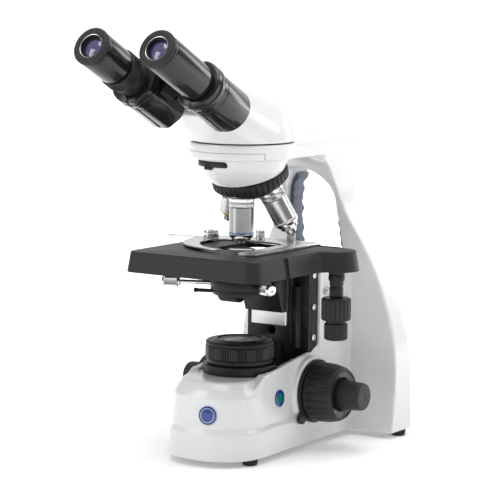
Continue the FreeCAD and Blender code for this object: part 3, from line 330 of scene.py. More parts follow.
def smooth_copy(node, name, mat, body, voxel, rounds):
    """A casting: the CAD solid with the soft edges of a painted cast part. Voxels are in millimetres."""
    source = NODES[node]
    mesh = source.data.copy()
    mesh.name = name
    mesh.materials.clear()
    mesh.materials.append(mat)
    obj = bpy.data.objects.new(name, mesh)
    bpy.context.scene.collection.objects.link(obj)
    bm = bmesh.new()
    bm.from_mesh(mesh)
    bmesh.ops.remove_doubles(bm, verts=bm.verts[:], dist=TINY)
    bm.to_mesh(mesh)
    bm.free()
    remesh = obj.modifiers.new("remesh", "REMESH")
    remesh.mode = "VOXEL"
    remesh.voxel_size = voxel * MM
    relax = obj.modifiers.new("relax", "SMOOTH")
    relax.factor = 0.5
    relax.iterations = rounds
    graph = bpy.context.evaluated_depsgraph_get()
    graph.update()
    result = bpy.data.meshes.new_from_object(obj.evaluated_get(graph))
    obj.modifiers.clear()
    obj.data = result
    result.name = name
    result.materials.clear()
    result.materials.append(mat)
    result.polygons.foreach_set("material_index", [0] * len(result.polygons))
    result.shade_smooth()
    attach(obj, body)
    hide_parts(node)


def keep(node, mat, width=0.3, segments=2):
    """A CAD node that stays, with its finish and softly broken edges."""
    obj = NODES[node]
    obj.data.materials.clear()
    obj.data.materials.append(mat)
    obj.data.shade_smooth()
    weld = obj.modifiers.new("weld", "WELD")
    weld.merge_threshold = TINY
    if width:
        bevel = obj.modifiers.new("bevel", "BEVEL")
        bevel.width = width * MM
        bevel.segments = segments
        bevel.limit_method = "ANGLE"
        bevel.angle_limit = radians(50)


def rounded(points, r, steps=3):
    """Rounds the corners of a closed flat outline."""
    out = []
    n = len(points)
    for i, p in enumerate(points):
        p = Vector(p)
        a, b = Vector(points[i - 1]), Vector(points[(i + 1) % n])
        d1, d2 = a - p, b - p
        cut = min(r, d1.length * 0.45, d2.length * 0.45)
        if cut < 1e-5 or d1.normalized().dot(d2.normalized()) < STRAIGHT:
            out.append((p.x, p.y))
            continue
        s, e = p + d1.normalized() * cut, p + d2.normalized() * cut
        for k in range(steps + 1):
            t = k / steps
            q = s * (1 - t) ** 2 + p * 2 * t * (1 - t) + e * t * t
            out.append((q.x, q.y))
    return out


def arc(cx, cy, r, a0, a1, steps=12):
    """Points on an arc, angles in degrees."""
    angles = [radians(a0 + (a1 - a0) * k / steps) for k in range(steps + 1)]
    return [(cx + r * cos(a), cy + r * sin(a)) for a in angles]


# ---- tubes and eyepieces -------------------------------------------------------------------------
TILT = radians(27.5)
TUBE_DIR = P(0, -cos(TILT), sin(TILT))
TUBE_UP = P(0, sin(TILT), cos(TILT))
TUBE_BACK = -TUBE_DIR
EYE = P(0, -177.4, 368.1)                          # midway between the faces of the eyepieces
HINGE_RISE = 18.0                                  # of the hinge's axis above the eyepieces' plane
HINGE_REACH = 38.0                                 # from the hinge's axis to each eyepiece's
EYE_HALF = sqrt(HINGE_REACH ** 2 - HINGE_RISE ** 2)
HOUSING_R = 19.5
HINGE_SPANS = {-1: (82.5, 101.5), 1: (102.0, 121.5)}


def tube_point(x, back, rise=0.0):
    """A place measured from between the eyepieces: sideways, back along the tubes, and square to both."""
    return P(x, EYE.y, EYE.z) + TUBE_BACK * back + TUBE_UP * rise


def housing_section(side, r, back):
    """Section of a prism housing: round on its outer side, flat with chamfers towards the other tube."""
    outer = arc(0, 0, r, -90, 90, 20)
    corners = [(0, r), (-r * 0.62, r), (-r, r * 0.58), (-r, -r * 0.42), (-r * 0.45, -r), (0, -r)]
    inner = rounded(corners, 3.2, 5)[1:-1]
    middle = tube_point(side * EYE_HALF, back)
    return [middle + X * (side * u) + TUBE_UP * w for u, w in outer + inner]


def eyepiece(side, word):
    """Cup, rim, lens and barrel of one eyepiece."""
    face = tube_point(side * EYE_HALF, 0)
    body = word + "_eyepiece"
    lathe("eyecup_" + word + "_rubber",
          [(10.8, 1.3), (11.9, 0.0), (15.0, 0.0), (16.8, 1.5), (16.8, 4.0), (16.0, 4.3), (16.0, 5.0),
           (10.8, 5.0)],
          face, TUBE_BACK, RUBBER, body, gone=("eyecup_" + word,), r=0.5)
    lathe("eye_rim_" + word, [(10.1, 1.0), (10.8, 0.8), (10.8, 4.6), (10.1, 4.6)], face, TUBE_BACK,
          SATIN_CHROME, body, r=0.15)
    lathe("eye_cone_" + word, [(9.2, 5.4), (10.1, 1.6), (10.1, 5.9), (9.2, 5.9)], face, TUBE_BACK, BLACK_PAINT,
          body, r=0.0)
    lathe("eye_glass_" + word,
          [(0, 3.3), (2.5, 3.36), (5.0, 3.7), (7.5, 4.4), (9.5, 5.4), (9.5, 8.6), (0, 8.6)],
          face, TUBE_BACK, LENS, body, gone=("eye_lens_" + word,), r=0.0, sharp=60)
    # the left barrel ends at the dioptre ring, the right one slips over its tube
    end = 39.0 if side < 0 else 62.0
    tail = [(11.6, end)] if side < 0 else [(14.9, end), (14.9, 47.6), (11.6, 47.6)]
    lathe("eyepiece_" + word + "_barrel",
          [(9.8, 5.0), (15.6, 5.0), (16.5, 5.5), (16.5, 7.0), (16.05, 7.2), (16.05, 7.7), (16.5, 7.9),
           (16.5, end - 1.2), (15.7, end), *tail, (11.6, 92.0), (9.8, 92.0)],
          face, TUBE_BACK, TUBE_BLACK, body, gone=("eyepiece_" + word,), seg=128, r=0.2)


def tube(side, word):
    """Eyepiece tube, prism housing and its half of the hinge."""
    body = word + "_tube"
    front = 44.3 if side < 0 else 48.0
    lathe("eye_tube_" + word, [(11.65, front), (14.5, front), (14.5, 72.0), (11.65, 72.0)],
          tube_point(side * EYE_HALF, 0), TUBE_BACK, BLACK_PAINT, body)
    stations = [(66.4, 19.0), (66.9, 20.2), (67.6, 20.8), (71.4, 21.0), (71.9, 20.7), (72.1, 20.2),
                (72.9, 20.2), (73.1, 20.7), (73.6, 21.0), (77.2, 21.0), (77.9, 20.6), (78.2, HOUSING_R),
                (84.6, HOUSING_R), (84.9, 19.2), (85.5, 19.2), (85.8, HOUSING_R), (121.9, HOUSING_R),
                (122.7, 19.2), (123.0, 18.7)]
    loft("tube_housing_" + word, [housing_section(side, r, back) for back, r in stations], TUBE_BLACK, body,
         gone=("tube_body_" + word,), sharp=30)
    start, stop = HINGE_SPANS[side]
    lathe("hinge_ring_" + word,
          [(9.05, start), (12.6, start), (13.5, start + 0.9), (13.5, stop - 0.9), (12.6, stop), (9.05, stop)],
          tube_point(0, 0, HINGE_RISE), TUBE_BACK, BLACK_PAINT, body)
    outside = side * (EYE_HALF - 8)
    web = rounded([(0, HINGE_RISE + 11.0), (outside, 17.5), (outside, -14.0), (side * 12.0, -2.0),
                   (side * 9.2, 8.0), (side * 11.5, HINGE_RISE + 2), (0, HINGE_RISE + 9.4)], 2.0)
    loft("tube_web_" + word, [[tube_point(u, back, w) for u, w in web] for back in (start + 0.6, stop - 0.6)],
         CRINKLE, body)


for side, word in SIDES:
    eyepiece(side, word)
    tube(side, word)

lathe("dioptre_grip",
      [(11.9, 41.4), (15.2, 41.0), (16.9, 41.4), (17.6, 42.4, 0.45), (17.6, 52.4, 0.45), (16.9, 53.4),
       (16.9, 54.2), (16.2, 55.0), (15.9, 61.9), (14.6, 61.9), (14.6, 44.6), (11.9, 44.6)],
      tube_point(-EYE_HALF, 0), TUBE_BACK, BLACK_PAINT, "diopter", gone=("diopter_ring",),
      seg=288, r=0.2, ribs=flutes(72, 0.5, 0.3))
lathe("hinge_cover",
      [(0, 77.0), (11.5, 77.0), (14.6, 78.0), (15.5, 79.4), (15.5, 81.4), (15.0, 81.9), (0, 81.9)],
      tube_point(0, 0, HINGE_RISE), TUBE_BACK, BLACK_PAINT, "head", r=0.4)
keep("tube_hub", BLACK_PAINT, 0.2)
keep("head_dovetail", BLACK_PAINT, 0.0)
keep("beam_prism", PRISM, 0.2)

# ---- castings ------------------------------------------------------------------------------------
smooth_copy("head_housing", "head_shell", ENAMEL, "head", 1.1, 6)
smooth_copy("stand_casting", "stand_shell", ENAMEL, "stand", 1.3, 6)
smooth_copy("nosepiece_housing", "nosepiece_bowl", ENAMEL, "stand", 0.8, 3)


def seam(name, points, r):
    """A painted shadow for the gap of a seam in the stand: a thin dark round line along points on its surface.
    """
    sides = 8
    verts, faces = [], []
    n = len(points)
    for i, p in enumerate(points):
        t = (points[min(i + 1, n - 1)] - points[max(i - 1, 0)]).normalized()
        ref = Z if abs(t.z) < 0.9 else X
        a = t.cross(ref).normalized()
        b = t.cross(a).normalized()
        for k in range(sides):
            w = 2 * pi * k / sides
            verts.append(p + a * (r * cos(w)) + b * (r * sin(w)))
    for i in range(n - 1):
        for k in range(sides):
            k2 = (k + 1) % sides
            faces.append((i * sides + k, i * sides + k2, (i + 1) * sides + k2, (i + 1) * sides + k))
    faces.append(tuple(range(sides))[::-1])
    faces.append(tuple((n - 1) * sides + k for k in range(sides)))
    piece(name, verts, faces, SEAM_SHADE, "stand", sharp=80)


RING_R, RING_SEAM, RING_LOW = 46.95, 272.7, 267.2
RING_ENDS = (-148.4, -31.6)                        # angles where the seam stops, in degrees
# painted shadow lines along the arm ring's seam and down its two notches
seam("arm_ring_seam_shade", [P(x, y, RING_SEAM) for x, y in arc(0, 0, RING_R, *RING_ENDS, 72)], 0.2)
for (_, word), angle in zip(SIDES, RING_ENDS):
    x, y = arc(0, 0, RING_R - 0.05, angle, angle, 1)[0]
    seam("arm_ring_notch_shade_" + word, [P(x, y, RING_SEAM), P(x, y, RING_LOW)], 0.28)

# ---- filter slot, turret, objectives -------------------------------------------------------------
keep("filter_plug", BLACK_PAINT, 0.25)
TURRET_TILT = radians(20.5)
TURRET_AXIS = P(0, sin(TURRET_TILT), -cos(TURRET_TILT))
TURRET_R = 17.5                                    # from the turret's axis to the middle of each seat
SHOULDER_Z = 233.0                                 # seat of the objective in use
TURRET_CENTRE = P(0, 0, SHOULDER_Z + TURRET_R / sin(TURRET_TILT)) + TURRET_AXIS * (TURRET_R / tan(TURRET_TILT))
lathe("turret_grip",
      [(31.5, -14.9), (33.2, -14.9), (33.5, -14.2), (34.3, -13.6, 1.2), (34.6, -12.6, 1.5), (34.5, -6.0, 1.5),
       (33.2, -4.4, 0.5), (31.5, -4.2)],
      TURRET_CENTRE, TURRET_AXIS, BLACK_PAINT, "turret", seg=400, ribs=flutes(40, 0.36, 0.14))
keep("turret_plate", BLACK_PAINT, 0.0)


def seat(angle):
    """Place and axis of an objective at an angle round the turret, 0 at the front."""
    forward = P(0, -cos(TURRET_TILT), -sin(TURRET_TILT))
    outward = forward * cos(radians(angle)) + X * sin(radians(angle))
    return TURRET_CENTRE + outward * TURRET_R, TURRET_AXIS * cos(TURRET_TILT) + outward * sin(TURRET_TILT)


# power: angle on the turret, length of the barrel, tip profile, colour band
OBJECTIVES = {
    "4x": (180, 19.0, [(9.8, 20.6), (9.8, 25.4), (8.2, 27.9), (6.6, 27.9)], BAND_RED),
    "10x": (270, 27.6, [(9.2, 30.6), (8.4, 34.6), (6.2, 35.9), (4.8, 35.9)], BAND_YELLOW),
    "40x": (0, 35.6, [(9.8, 38.4), (8.4, 39.0), (8.2, 40.6), (5.0, 41.6), (4.4, 43.1), (2.9, 43.1)], BAND_BLUE),
    "100x": (90, 35.0, [(10.0, 37.4), (8.6, 38.2), (8.3, 40.4), (6.0, 42.4), (4.6, 45.5), (2.9, 45.5)],
             BAND_WHITE),
}


def objective(power):
    """An objective with knurled rings, a colour band and a bright tip."""
    angle, length, tip, band = OBJECTIVES[power]
    base, axis = seat(angle)
    inner, bottom = tip[-1]
    if power == "4x":
        head = [(8.0, 0.05), (10.4, 0.05), (11.2, 1.0), (11.4, 1.6, 0.35), (11.4, 6.0, 0.35), (11.0, 6.5),
                (11.2, 7.0)]
        bore = [(inner, 20.0), (8.0, 16.0)]
    else:
        head = [(8.0, 0.05), (10.4, 0.05), (10.9, 1.6), (10.9, 2.6), (11.4, 3.0, 0.35), (11.4, 6.2, 0.35),
                (11.1, 6.6), (11.1, 7.1), (11.4, 7.5, 0.35), (11.4, 10.4, 0.35), (11.0, 10.9), (10.8, 11.4),
                (11.2, 11.8)]
        bore = [(inner, bottom - 4.0), (8.0, bottom - 9.0)]
    barrel = [(11.2, length - 2.4), (11.35, length - 2.3), (11.35, length - 1.3), (11.2, length - 1.2),
              (11.2, length)]
    lathe("objective_" + power + "_barrel", head + barrel + tip + bore, base, axis,
          [SATIN_CHROME, band, CHROME], "turret", gone=("objective_" + power,), seg=192, r=0.12,
          ribs=flutes(48, 0.5, 0.3),
          bands=[(length - 2.35, length - 1.25, 1), (length + 0.2, bottom, 2), (0, 6.0, 2)])


for power in OBJECTIVES:
    objective(power)
keep("objective_lenses", LENS, 0.0)

# ---- stage ---------------------------------------------------------------------------------------
STAGE_TOP = 185.5
STAGE_LOW = 167.5
STAGE_SKIN = 5.0                                   # thickness of the top
STAGE_BACK = 58.0
DRIVE_X, DRIVE_Y = 75.4, 40.0                      # axis of the stage drive
GROOVE = [(-64.25, 50.3), (70.0, 50.3), (70.0, 56.0), (-64.25, 56.0)]
GROOVE_DEPTH = 3.0
SLOT_R = 19.0
SLOT_ENDS = (-3.0, 31.0)                           # centres of the slot's round ends
OPENING = (-4, -3)                                 # rim points above the opening in the back skirt


def stage_outline(inset):
    """Plan of the stage's rim: a rectangle with round front corners and an ear at the right for the drive."""
    left, right, front = -68.0 + inset * 0.75, 72.0 - inset, -86.0 + inset
    r = 12.0 - inset * 0.6
    points = arc(left + r, front + r, r, 180, 270, 10)
    points += arc(right - r, front + r, r, 270, 360, 10)
    dent = 2.0 if inset < 3.0 else 0.0
    points += [(right, -38.5), (right - dent, -38.0), (right - dent, -31.0), (right, -30.5), (right, 4.0)]
    points += [(right + 0.6, 12.0 + inset), (right + 2.6, 17.5 + inset), (right + 6.6, 21.4 + inset)]
    points += arc(DRIVE_X, DRIVE_Y, 20.0 - inset, -48, 84, 16)
    points.append((66.0, STAGE_BACK + 0.5))
    points += [(x, STAGE_BACK) for x in (58.0, 54.0, 53.9, left + 6.1, left + 6.0, left)]
    return points


def stage_plate():
    """Top plate with a drafted skirt, a slot for the light, a groove along the back and a hollow underside."""
    levels = [(0.0, STAGE_LOW), (0.15, STAGE_LOW + 0.9), (2.9, STAGE_TOP - 1.6), (3.2, STAGE_TOP - 0.6),
              (3.8, STAGE_TOP - 0.1), (4.6, STAGE_TOP)]
    ceiling = STAGE_TOP - STAGE_SKIN
    lifted = [len(stage_outline(0.0)) + k for k in OPENING]
    bm = bmesh.new()

    def flat(points, z):
        return [bm.verts.new(row((x, y, z))) for x, y in points]

    def rim(inset, z):
        return [bm.verts.new(row((x, y, max(z, ceiling) if k in lifted else z)))
                for k, (x, y) in enumerate(stage_outline(inset))]

    def wall(a, b):
        for k in range(len(a)):
            k2 = (k + 1) % len(a)
            bm.faces.new((a[k], a[k2], b[k2], b[k]))

    rings = [rim(inset, z) for inset, z in levels]
    inner = [rim(2.6, STAGE_LOW), rim(5.2, ceiling)]
    for a, b in zip(rings, rings[1:]):
        wall(a, b)
    wall(inner[0], rings[0])
    wall(inner[1], inner[0])
    slot = arc(0, SLOT_ENDS[0], SLOT_R, 180, 360, 24) + arc(0, SLOT_ENDS[1], SLOT_R, 0, 180, 24)
    middle = sum(SLOT_ENDS) / 2
    lower_slot = [(x * 0.975, (y - middle) * 0.985 + middle) for x, y in slot]
    slot_top = flat(slot, STAGE_TOP)
    slot_edge = flat(lower_slot, STAGE_TOP - 0.7)
    slot_low = flat(lower_slot, ceiling)
    wall(slot_top, slot_edge)
    wall(slot_edge, slot_low)
    groove_top = flat(GROOVE, STAGE_TOP)
    groove_low = flat(GROOVE, STAGE_TOP - GROOVE_DEPTH)
    wall(groove_top, groove_low)
    bm.faces.new(groove_low)
    for loops in ((rings[-1], slot_top, groove_top), (inner[1], slot_low)):
        edges = []
        for loop in loops:
            for k, v in enumerate(loop):
                w = loop[(k + 1) % len(loop)]
                edges.append(bm.edges.get((v, w)) or bm.edges.new((v, w)))
        bmesh.ops.triangle_fill(bm, use_beauty=True, use_dissolve=False, edges=edges)
    bmesh.ops.recalc_face_normals(bm, faces=bm.faces)
    mesh = bpy.data.meshes.new("stage_top_plate")
    bm.to_mesh(mesh)
    bm.free()
    mesh.materials.append(STAGE_BLACK)
    mesh.shade_smooth()
    mesh.set_sharp_from_angle(angle=radians(34))
    settle("stage_top_plate", mesh, "stage_top", ("stage_plate",))


stage_plate()
DRIVE = P(DRIVE_X, DRIVE_Y, 0)
lathe("drive_tube",
      [(3.05, 143.3), (5.6, 143.3), (6.2, 144.0), (6.2, 152.0), (5.6, 152.6), (5.6, 153.4), (6.2, 154.0),
       (6.2, 157.6), (7.0, 158.2), (7.3, 159.0), (7.3, 163.0), (6.9, 163.5), (6.9, 164.2), (7.3, 164.7),
       (7.3, 181.0), (3.05, 181.0)],
      DRIVE, Z, BLACK_PAINT, "stage_top")
keep("x_rail", STAGE_BLACK, 0.3)
keep("stage_frame", STAGE_BLACK, 0.3)
lathe("depth_knob_grip",
      [(3.05, 122.5), (11.6, 122.5), (12.8, 123.2, 0.5), (13.3, 124.3, 0.8), (13.3, 141.2, 0.8),
       (12.7, 142.4, 0.5), (11.4, 143.0), (3.05, 143.0)],
      DRIVE, Z, KNOB_GREY, "depth_drive", gone=("depth_knob",), seg=240, r=0.5, ribs=flutes(20, 0.3, 0.16))
lathe("width_knob_grip",
      [(0, 105.0), (8.6, 105.0), (10.2, 105.8), (10.5, 106.9, 0.4), (10.5, 119.1, 0.4), (10.1, 119.9),
       (8.9, 120.3), (8.9, 122.2), (3.0, 122.2), (3.0, 180.0), (0, 180.0)],
      DRIVE, Z, KNOB_GREY, "width_drive", gone=("width_knob",), seg=240, r=0.3, ribs=flutes(40, 0.45, 0.3))
keep("holder_plate", STEEL, 0.25)
keep("holder_carriage", STAGE_BLACK, 0.3)
keep("slide_finger", SATIN_CHROME, 0.25)
keep("holder_screws", CHROME, 0.2)

# ---- condenser -----------------------------------------------------------------------------------
keep("condenser_mount", BLACK_PAINT, 0.4)
keep("condenser_slide", ALUMINIUM, 0.3)
keep("condenser_body", BLACK_PAINT, 0.3)
keep("condenser_lenses", LENS, 0.2)
keep("iris_ring", BLACK_PAINT, 0.3)
# body, angle round the condenser in degrees, start and end of the head, its radius
for word, angle, start, end, r in (("right", -22, 33.0, 48.5, 5.6), ("left", 202, 57.0, 72.0, 5.2)):
    axis = P(cos(radians(angle)), sin(radians(angle)), 0)
    lathe("centring_knob_" + word,
          [(0, 22.6), (2.0, 22.6), (2.0, start - 2.0), (3.4, start - 1.6), (3.4, start), (r - 0.8, start),
           (r, start + 0.8, 0.3), (r, end - 2.6, 0.3), (r - 0.4, end - 2.2), (r - 0.4, end - 0.9),
           (r - 1.6, end), (1.6, end), (1.2, end - 0.6), (0, end - 0.6)],
          P(0, 0, 153.0), axis, CHROME, word + "_centring", gone=("centring_screw_" + word,), seg=160, r=0.2,
          ribs=flutes(40, 0.5, 0.3))
CONDENSER_KNOB = P(-46.0, 38.0, 138.0)
lathe("condenser_knob_grip",
      [(0, 0.0), (7.6, 0.0), (8.8, 0.9), (9.0, 2.0, 0.7), (9.0, 19.4, 0.7), (8.4, 21.2), (6.0, 22.0),
       (0, 22.0)],
      CONDENSER_KNOB, X, BLACK_PAINT, "condenser_drive", gone=("condenser_knob",), seg=200, r=0.4,
      ribs=flutes(20, 0.4, 0.2))
lathe("condenser_knob_shaft", [(0, 21.0), (3.0, 21.0), (3.0, 35.5), (0, 35.5)], CONDENSER_KNOB, X, CHROME,
      "condenser_drive", r=0.1)

# ---- focusing ------------------------------------------------------------------------------------
keep("focus_rail", BLACK_PAINT, 0.4)
keep("carrier", BLACK_PAINT, 0.4)
keep("column_screws", STEEL, 0.2)
keep("coarse_sleeve", STEEL, 0.0)
keep("sleeve_bushes", ENAMEL, 0.3)
keep("fine_shaft", STEEL, 0.0)
keep("tension_ring", KNOB_GREY, 0.5, 3)
FOCUS = P(0, 58.0, 52.5)                           # axis of the focus knobs
TICKS = 30
TICK_RADII = ((16.2, 26.45), (19.9, 27.1))         # radius and distance from the knob's base, at both ends
BRICK = ((0, 1, 3, 2), (4, 6, 7, 5), (0, 4, 5, 1), (2, 3, 7, 6), (1, 5, 7, 3), (0, 2, 6, 4))


def coarse_ticks(word, base, axis):
    """Thin raised ticks round the face of a coarse knob."""
    verts, faces = [], []
    for k in range(TICKS):
        a = 2 * pi * k / TICKS
        out = P(0, cos(a), sin(a))
        across = P(0, -sin(a), cos(a))
        n = len(verts)
        for rad, lift in TICK_RADII:
            for w in (-0.22, 0.22):
                for d in (-0.3, 0.1):
                    verts.append(base + axis * (lift + d) + out * rad + across * w)
        faces += [tuple(n + i for i in face) for face in BRICK]
    piece("coarse_ticks_" + word, verts, faces, SATIN_CHROME, "coarse_drive", sharp=20)


def focus_knobs(side, word):
    """Coarse knob with its ticks, and the fine knob outside it."""
    axis = X * side
    base = FOCUS + axis * 46.0
    lathe("coarse_grip_" + word,
          [(3.05, 0), (25.6, 0), (26.7, 0.9), (26.9, 2.2), (26.6, 3.4), (26.6, 4.0), (27.0, 4.6, 0.7),
           (26.5, 14.6, 0.7), (26.2, 15.2), (26.2, 15.9), (26.3, 16.6, 0.5), (24.7, 24.4, 0.5), (24.2, 25.4),
           (23.2, 25.8), (23.0, 27.0), (22.4, 27.9), (21.4, 28.0), (20.8, 27.2), (15.4, 26.2), (14.6, 25.4),
           (14.3, 22.0), (3.05, 22.0)],
          base, axis, KNOB_GREY, "coarse_drive", gone=("coarse_knobs",), seg=288, r=0.35,
          ribs=flutes(24, 0.22, 0.1))
    lathe("fine_grip_" + word,
          [(3.0, 0.4), (12.6, 0.4), (13.2, 1.2), (13.4, 4.6), (13.9, 6.6, 0.3), (13.4, 12.0, 0.3),
           (12.8, 18.0, 0.3), (12.5, 25.0), (12.0, 26.5), (10.8, 27.0), (1.2, 27.0), (1.0, 26.6), (0.0, 26.6)],
          FOCUS + axis * 68.4, axis, KNOB_GREY, "fine_drive", gone=("fine_knobs",), seg=288, r=0.5,
          ribs=flutes(48, 0.4, 0.3))
    coarse_ticks(word, base, axis)


for side, word in SIDES:
    focus_knobs(side, word)

# ---- lamp side -----------------------------------------------------------------------------------
LAMP = P(0, 0, 0)
lathe("field_foot",
      [(14.5, 72.0), (27.95, 72.0), (27.95, 74.0), (32.2, 74.0), (33.0, 74.8), (33.0, 81.4), (32.3, 82.3),
       (28.0, 82.5), (28.0, 98.4), (20.0, 98.5), (20.0, 102.9), (19.4, 103.5), (14.5, 103.5)],
      LAMP, Z, BLACK_PAINT, "stand", gone=("flange",), seg=128, r=0.4)


def grouped(angle):
    """Grip ribs of the field ring: twelve groups of four, with smooth stretches between."""
    step = (angle * 12 / (2 * pi)) % 1.0
    if step > 0.52:
        return 0.0
    t = (step / 0.13) % 1.0
    return max(0.0, min(1.0, 1.6 - abs(t - 0.5) * 6.4))


lathe("field_ring_grip",
      [(28.05, 83.0), (29.2, 83.0), (29.6, 83.5), (29.6, 86.6), (30.8, 87.4), (31.0, 88.0, 0.7),
       (31.0, 97.6, 0.7), (30.8, 98.6), (30.2, 99.0), (30.2, 99.6), (30.8, 100.0), (30.8, 101.6),
       (29.6, 103.0), (27.2, 103.6), (25.8, 103.2), (24.6, 103.7), (21.2, 104.5), (20.4, 104.2),
       (20.4, 98.9), (28.05, 98.9)],
      LAMP, Z, BLACK_PAINT, "field_diaphragm", gone=("field_ring",), seg=576, r=0.35, ribs=grouped)
lathe("field_glass", [(0, 102.9), (9.0, 102.9), (13.6, 102.6), (14.4, 102.2), (14.4, 98.2), (0, 98.2)], LAMP, Z,
      FROSTED, "stand", r=0.3, sharp=60)
keep("lamp_lenses", FROSTED, 0.0)
keep("lamp_unit", ALUMINIUM, 0.0)
keep("circuit_board", BOARD, 0.0)
keep("power_inlet", KNOB_GREY, 0.4)
keep("switch_rocker", KNOB_GREY, 0.4)
keep("brightness_dial", KNOB_GREY, 0.4)
keep("base_plates", STEEL, 0.2)


# ---- grips, badges, feet -------------------------------------------------------------------------
OPENING_HALVES = [(172.0, 29.0), (190.0, 28.4), (212.0, 27.0), (230.0, 25.6), (245.0, 18.0)]
GRIP_LOW, GRIP_HIGH = 173.2, 242.0
GRIP_STEPS = 84
INNER_WAVES, BACK_WAVES = 7, 4


def opening_half(z):
    """Half width of the hand opening at one height."""
    for (z0, w0), (z1, w1) in zip(OPENING_HALVES, OPENING_HALVES[1:]):
        if z <= z1:
            return w0 + (w1 - w0) * (z - z0) / (z1 - z0)
    return OPENING_HALVES[-1][1]


def finger_grip(side, word):
    """Rubber lining of one side of the hand opening, with finger waves on its inner face and back edge."""
    loops = []
    for i in range(GRIP_STEPS + 1):
        t = i / GRIP_STEPS
        z = GRIP_LOW + (GRIP_HIGH - GRIP_LOW) * t
        wave = 0.5 - 0.5 * cos(2 * pi * INNER_WAVES * t)
        end = min(1.0, i / 4.0, (GRIP_STEPS - i) / 4.0)
        wall = opening_half(z) - 0.15
        bow = (z - 235.0) ** 2 * 0.0022
        back = 140.0 + bow + 1.4 * cos(2 * pi * BACK_WAVES * t)
        front = 121.0 + bow
        thick = 1.4 + 2.3 * end * (0.55 + 0.45 * wave)
        inside = wall - thick
        section = rounded([(wall, front), (wall, back), (inside, back - 0.6), (inside, front + 0.6)], 1.2)
        loops.append([P(side * u, v, z) for u, v in section])
    loft("finger_grip_" + word, loops, GRIP_RUBBER, "stand", gone=("hand_grips",), sharp=50)


for side, word in SIDES:
    finger_grip(side, word)
keep("badges", BADGE_BLUE, 0.15)
lathe("badge_front_ring", [(5.9, 2.1), (6.5, 2.1), (6.5, 2.32), (5.9, 2.32)], P(12.0, -66.5, 46.0),
      P(0.2, -1.0, 0.05), SATIN_CHROME, "stand", r=0.05)
lathe("badge_side_centre", [(0, 2.1), (4.6, 2.1), (4.6, 2.32), (0, 2.32)], P(38.9, 3.4, 53.5),
      P(1.0, 0.04, 0.05), BADGE_GREEN, "stand", r=0.05)
FEET = ((36.5, -37.0), (-36.5, -37.0), (76.5, 153.0), (-76.5, 153.0))
for i, (x, y) in enumerate(FEET):
    lathe("foot_%d" % i, [(0, 0), (5.4, 0), (6.5, 0.8), (7.2, 5.5), (0, 5.5)], P(x, y, 0), Z, FOOT_RUBBER,
          "stand", gone=("feet",), seg=64, r=0.5)

# ---- set: floor, light, camera -------------------------------------------------------------------
scene = bpy.context.scene
scene.view_settings.view_transform = "Standard"
scene.view_settings.look = "None"

floor_mesh = bpy.data.meshes.new("floor")
floor_mesh.from_pydata([(-9, -9, 0), (9, -9, 0), (9, 9, 0), (-9, 9, 0)], [], [(0, 1, 2, 3)])
floor = bpy.data.objects.new("floor", floor_mesh)
scene.collection.objects.link(floor)
floor_mat, tree, bsdf = new_material("floor_white", (0.9, 0.9, 0.9), 0.9)
tree.links.new(ramp(tree, noise(tree, 3.0), [(0.3, (0.89, 0.89, 0.89)), (0.7, (0.91, 0.91, 0.91))]),
               bsdf.inputs["Base Color"])
# painted light: the floor glows, weakly near the object and more strongly away from it, so the far floor is as
# white as the backdrop
away = add(tree, "ShaderNodeVectorMath", operation="LENGTH")
tree.links.new(add(tree, "ShaderNodeTexCoord").outputs["Object"], away.inputs[0])
bsdf.inputs["Emission Color"].default_value = (1, 1, 1, 1)
tree.links.new(spread(tree, away.outputs["Value"], 0.2, 1.0, 0.18, 0.8), bsdf.inputs["Emission Strength"])
floor_mesh.materials.append(floor_mat)

AMBIENT = (0.15, 0.60)                             # sky light at the horizon and from above
BACKDROP = (-0.55, 0.83, 0.0)                      # direction of the bright backdrop behind the object
BACKDROP_LIGHT = 0.75
SEEN_WHITE = 1.05                                  # of the sky, where the camera sees it directly
world = bpy.data.worlds.new("studio")
scene.world = world
world.use_nodes = True
sky = world.node_tree
sky.nodes["Background"].inputs["Color"].default_value = (1, 1, 1, 1)
path = add(sky, "ShaderNodeLightPath")
towards = add(sky, "ShaderNodeTexCoord").outputs["Generated"]
split = add(sky, "ShaderNodeSeparateXYZ")
sky.links.new(towards, split.inputs["Vector"])
plain = add(sky, "ShaderNodeMix")
sky.links.new(path.outputs["Is Camera Ray"], plain.inputs["Factor"])
behind = add(sky, "ShaderNodeVectorMath", operation="DOT_PRODUCT")
sky.links.new(towards, behind.inputs[0])
behind.inputs[1].default_value = BACKDROP
both = add(sky, "ShaderNodeMath", operation="ADD")
sky.links.new(spread(sky, split.outputs["Z"], -0.1, 0.9, AMBIENT[0], AMBIENT[1]), both.inputs[0])
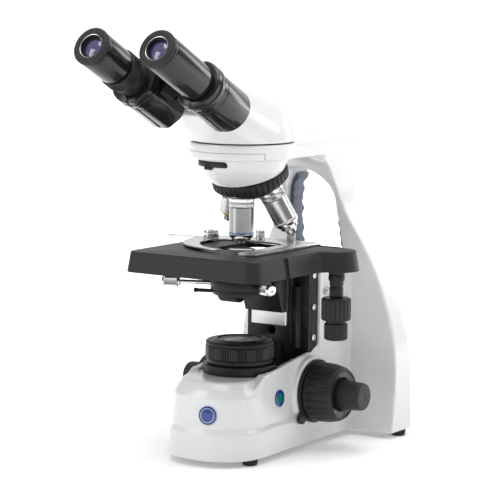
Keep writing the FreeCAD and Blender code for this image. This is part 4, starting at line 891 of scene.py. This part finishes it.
sky.links.new(spread(sky, behind.outputs["Value"], 0.55, 0.95, 0.0, BACKDROP_LIGHT), both.inputs[1])
sky.links.new(both.outputs["Value"], plain.inputs["A"])
plain.inputs["B"].default_value = SEEN_WHITE
sky.links.new(plain.outputs["Result"], sky.nodes["Background"].inputs["Strength"])


def softbox(name, place, target, width, height, power):
    """A rectangular lamp aimed at a target, in metres and watts."""
    light = bpy.data.lights.new(name, "AREA")
    light.shape = "RECTANGLE"
    light.size = width
    light.size_y = height
    light.energy = power
    obj = bpy.data.objects.new(name, light)
    obj.location = place
    obj.rotation_euler = (Vector(target) - Vector(place)).to_track_quat("-Z", "Y").to_euler()
    scene.collection.objects.link(obj)


softbox("top_light", (0.1, -0.3, 1.9), (0, 0, 0.15), 1.4, 1.4, 23)
softbox("right_light", (1.5, 0.9, 1.2), (0, 0, 0.25), 0.7, 0.9, 7)
softbox("back_light", (0.55, 1.5, 0.5), (0, -0.1, 0.3), 0.45, 0.8, 4)
softbox("left_light", (-1.1, -1.6, 0.9), (0, 0, 0.2), 0.7, 1.3, 9)

AZ, EL, ROLL = radians(33.498), radians(7.236), radians(0.682)
LENS_LENGTH, FILM = 165.786, 36.0                  # focal length and sensor width in millimetres
DISTANCE = 2055.88                                 # from the lens of the lamp, along the view
ASIDE, ABOVE = 8.804, 79.199                       # of the camera from the line through that lens
forward = P(-sin(AZ) * cos(EL), cos(AZ) * cos(EL), -sin(EL))
level_right = P(cos(AZ), sin(AZ), 0)
level_up = level_right.cross(forward)
right = level_right * cos(ROLL) + level_up * sin(ROLL)
up = level_up * cos(ROLL) - level_right * sin(ROLL)
eye = P(0, 0, 103.5) + right * ASIDE + up * ABOVE - forward * DISTANCE
camera_data = bpy.data.cameras.new("camera")
camera_data.sensor_width = FILM
camera_data.lens = LENS_LENGTH
camera_data.clip_start = 0.05
camera_data.clip_end = 50.0
camera = bpy.data.objects.new("camera", camera_data)
turn = Matrix((right, up, -forward)).transposed()
camera.matrix_world = Matrix.Translation(row(eye)) @ turn.to_4x4()
scene.collection.objects.link(camera)
scene.camera = camera
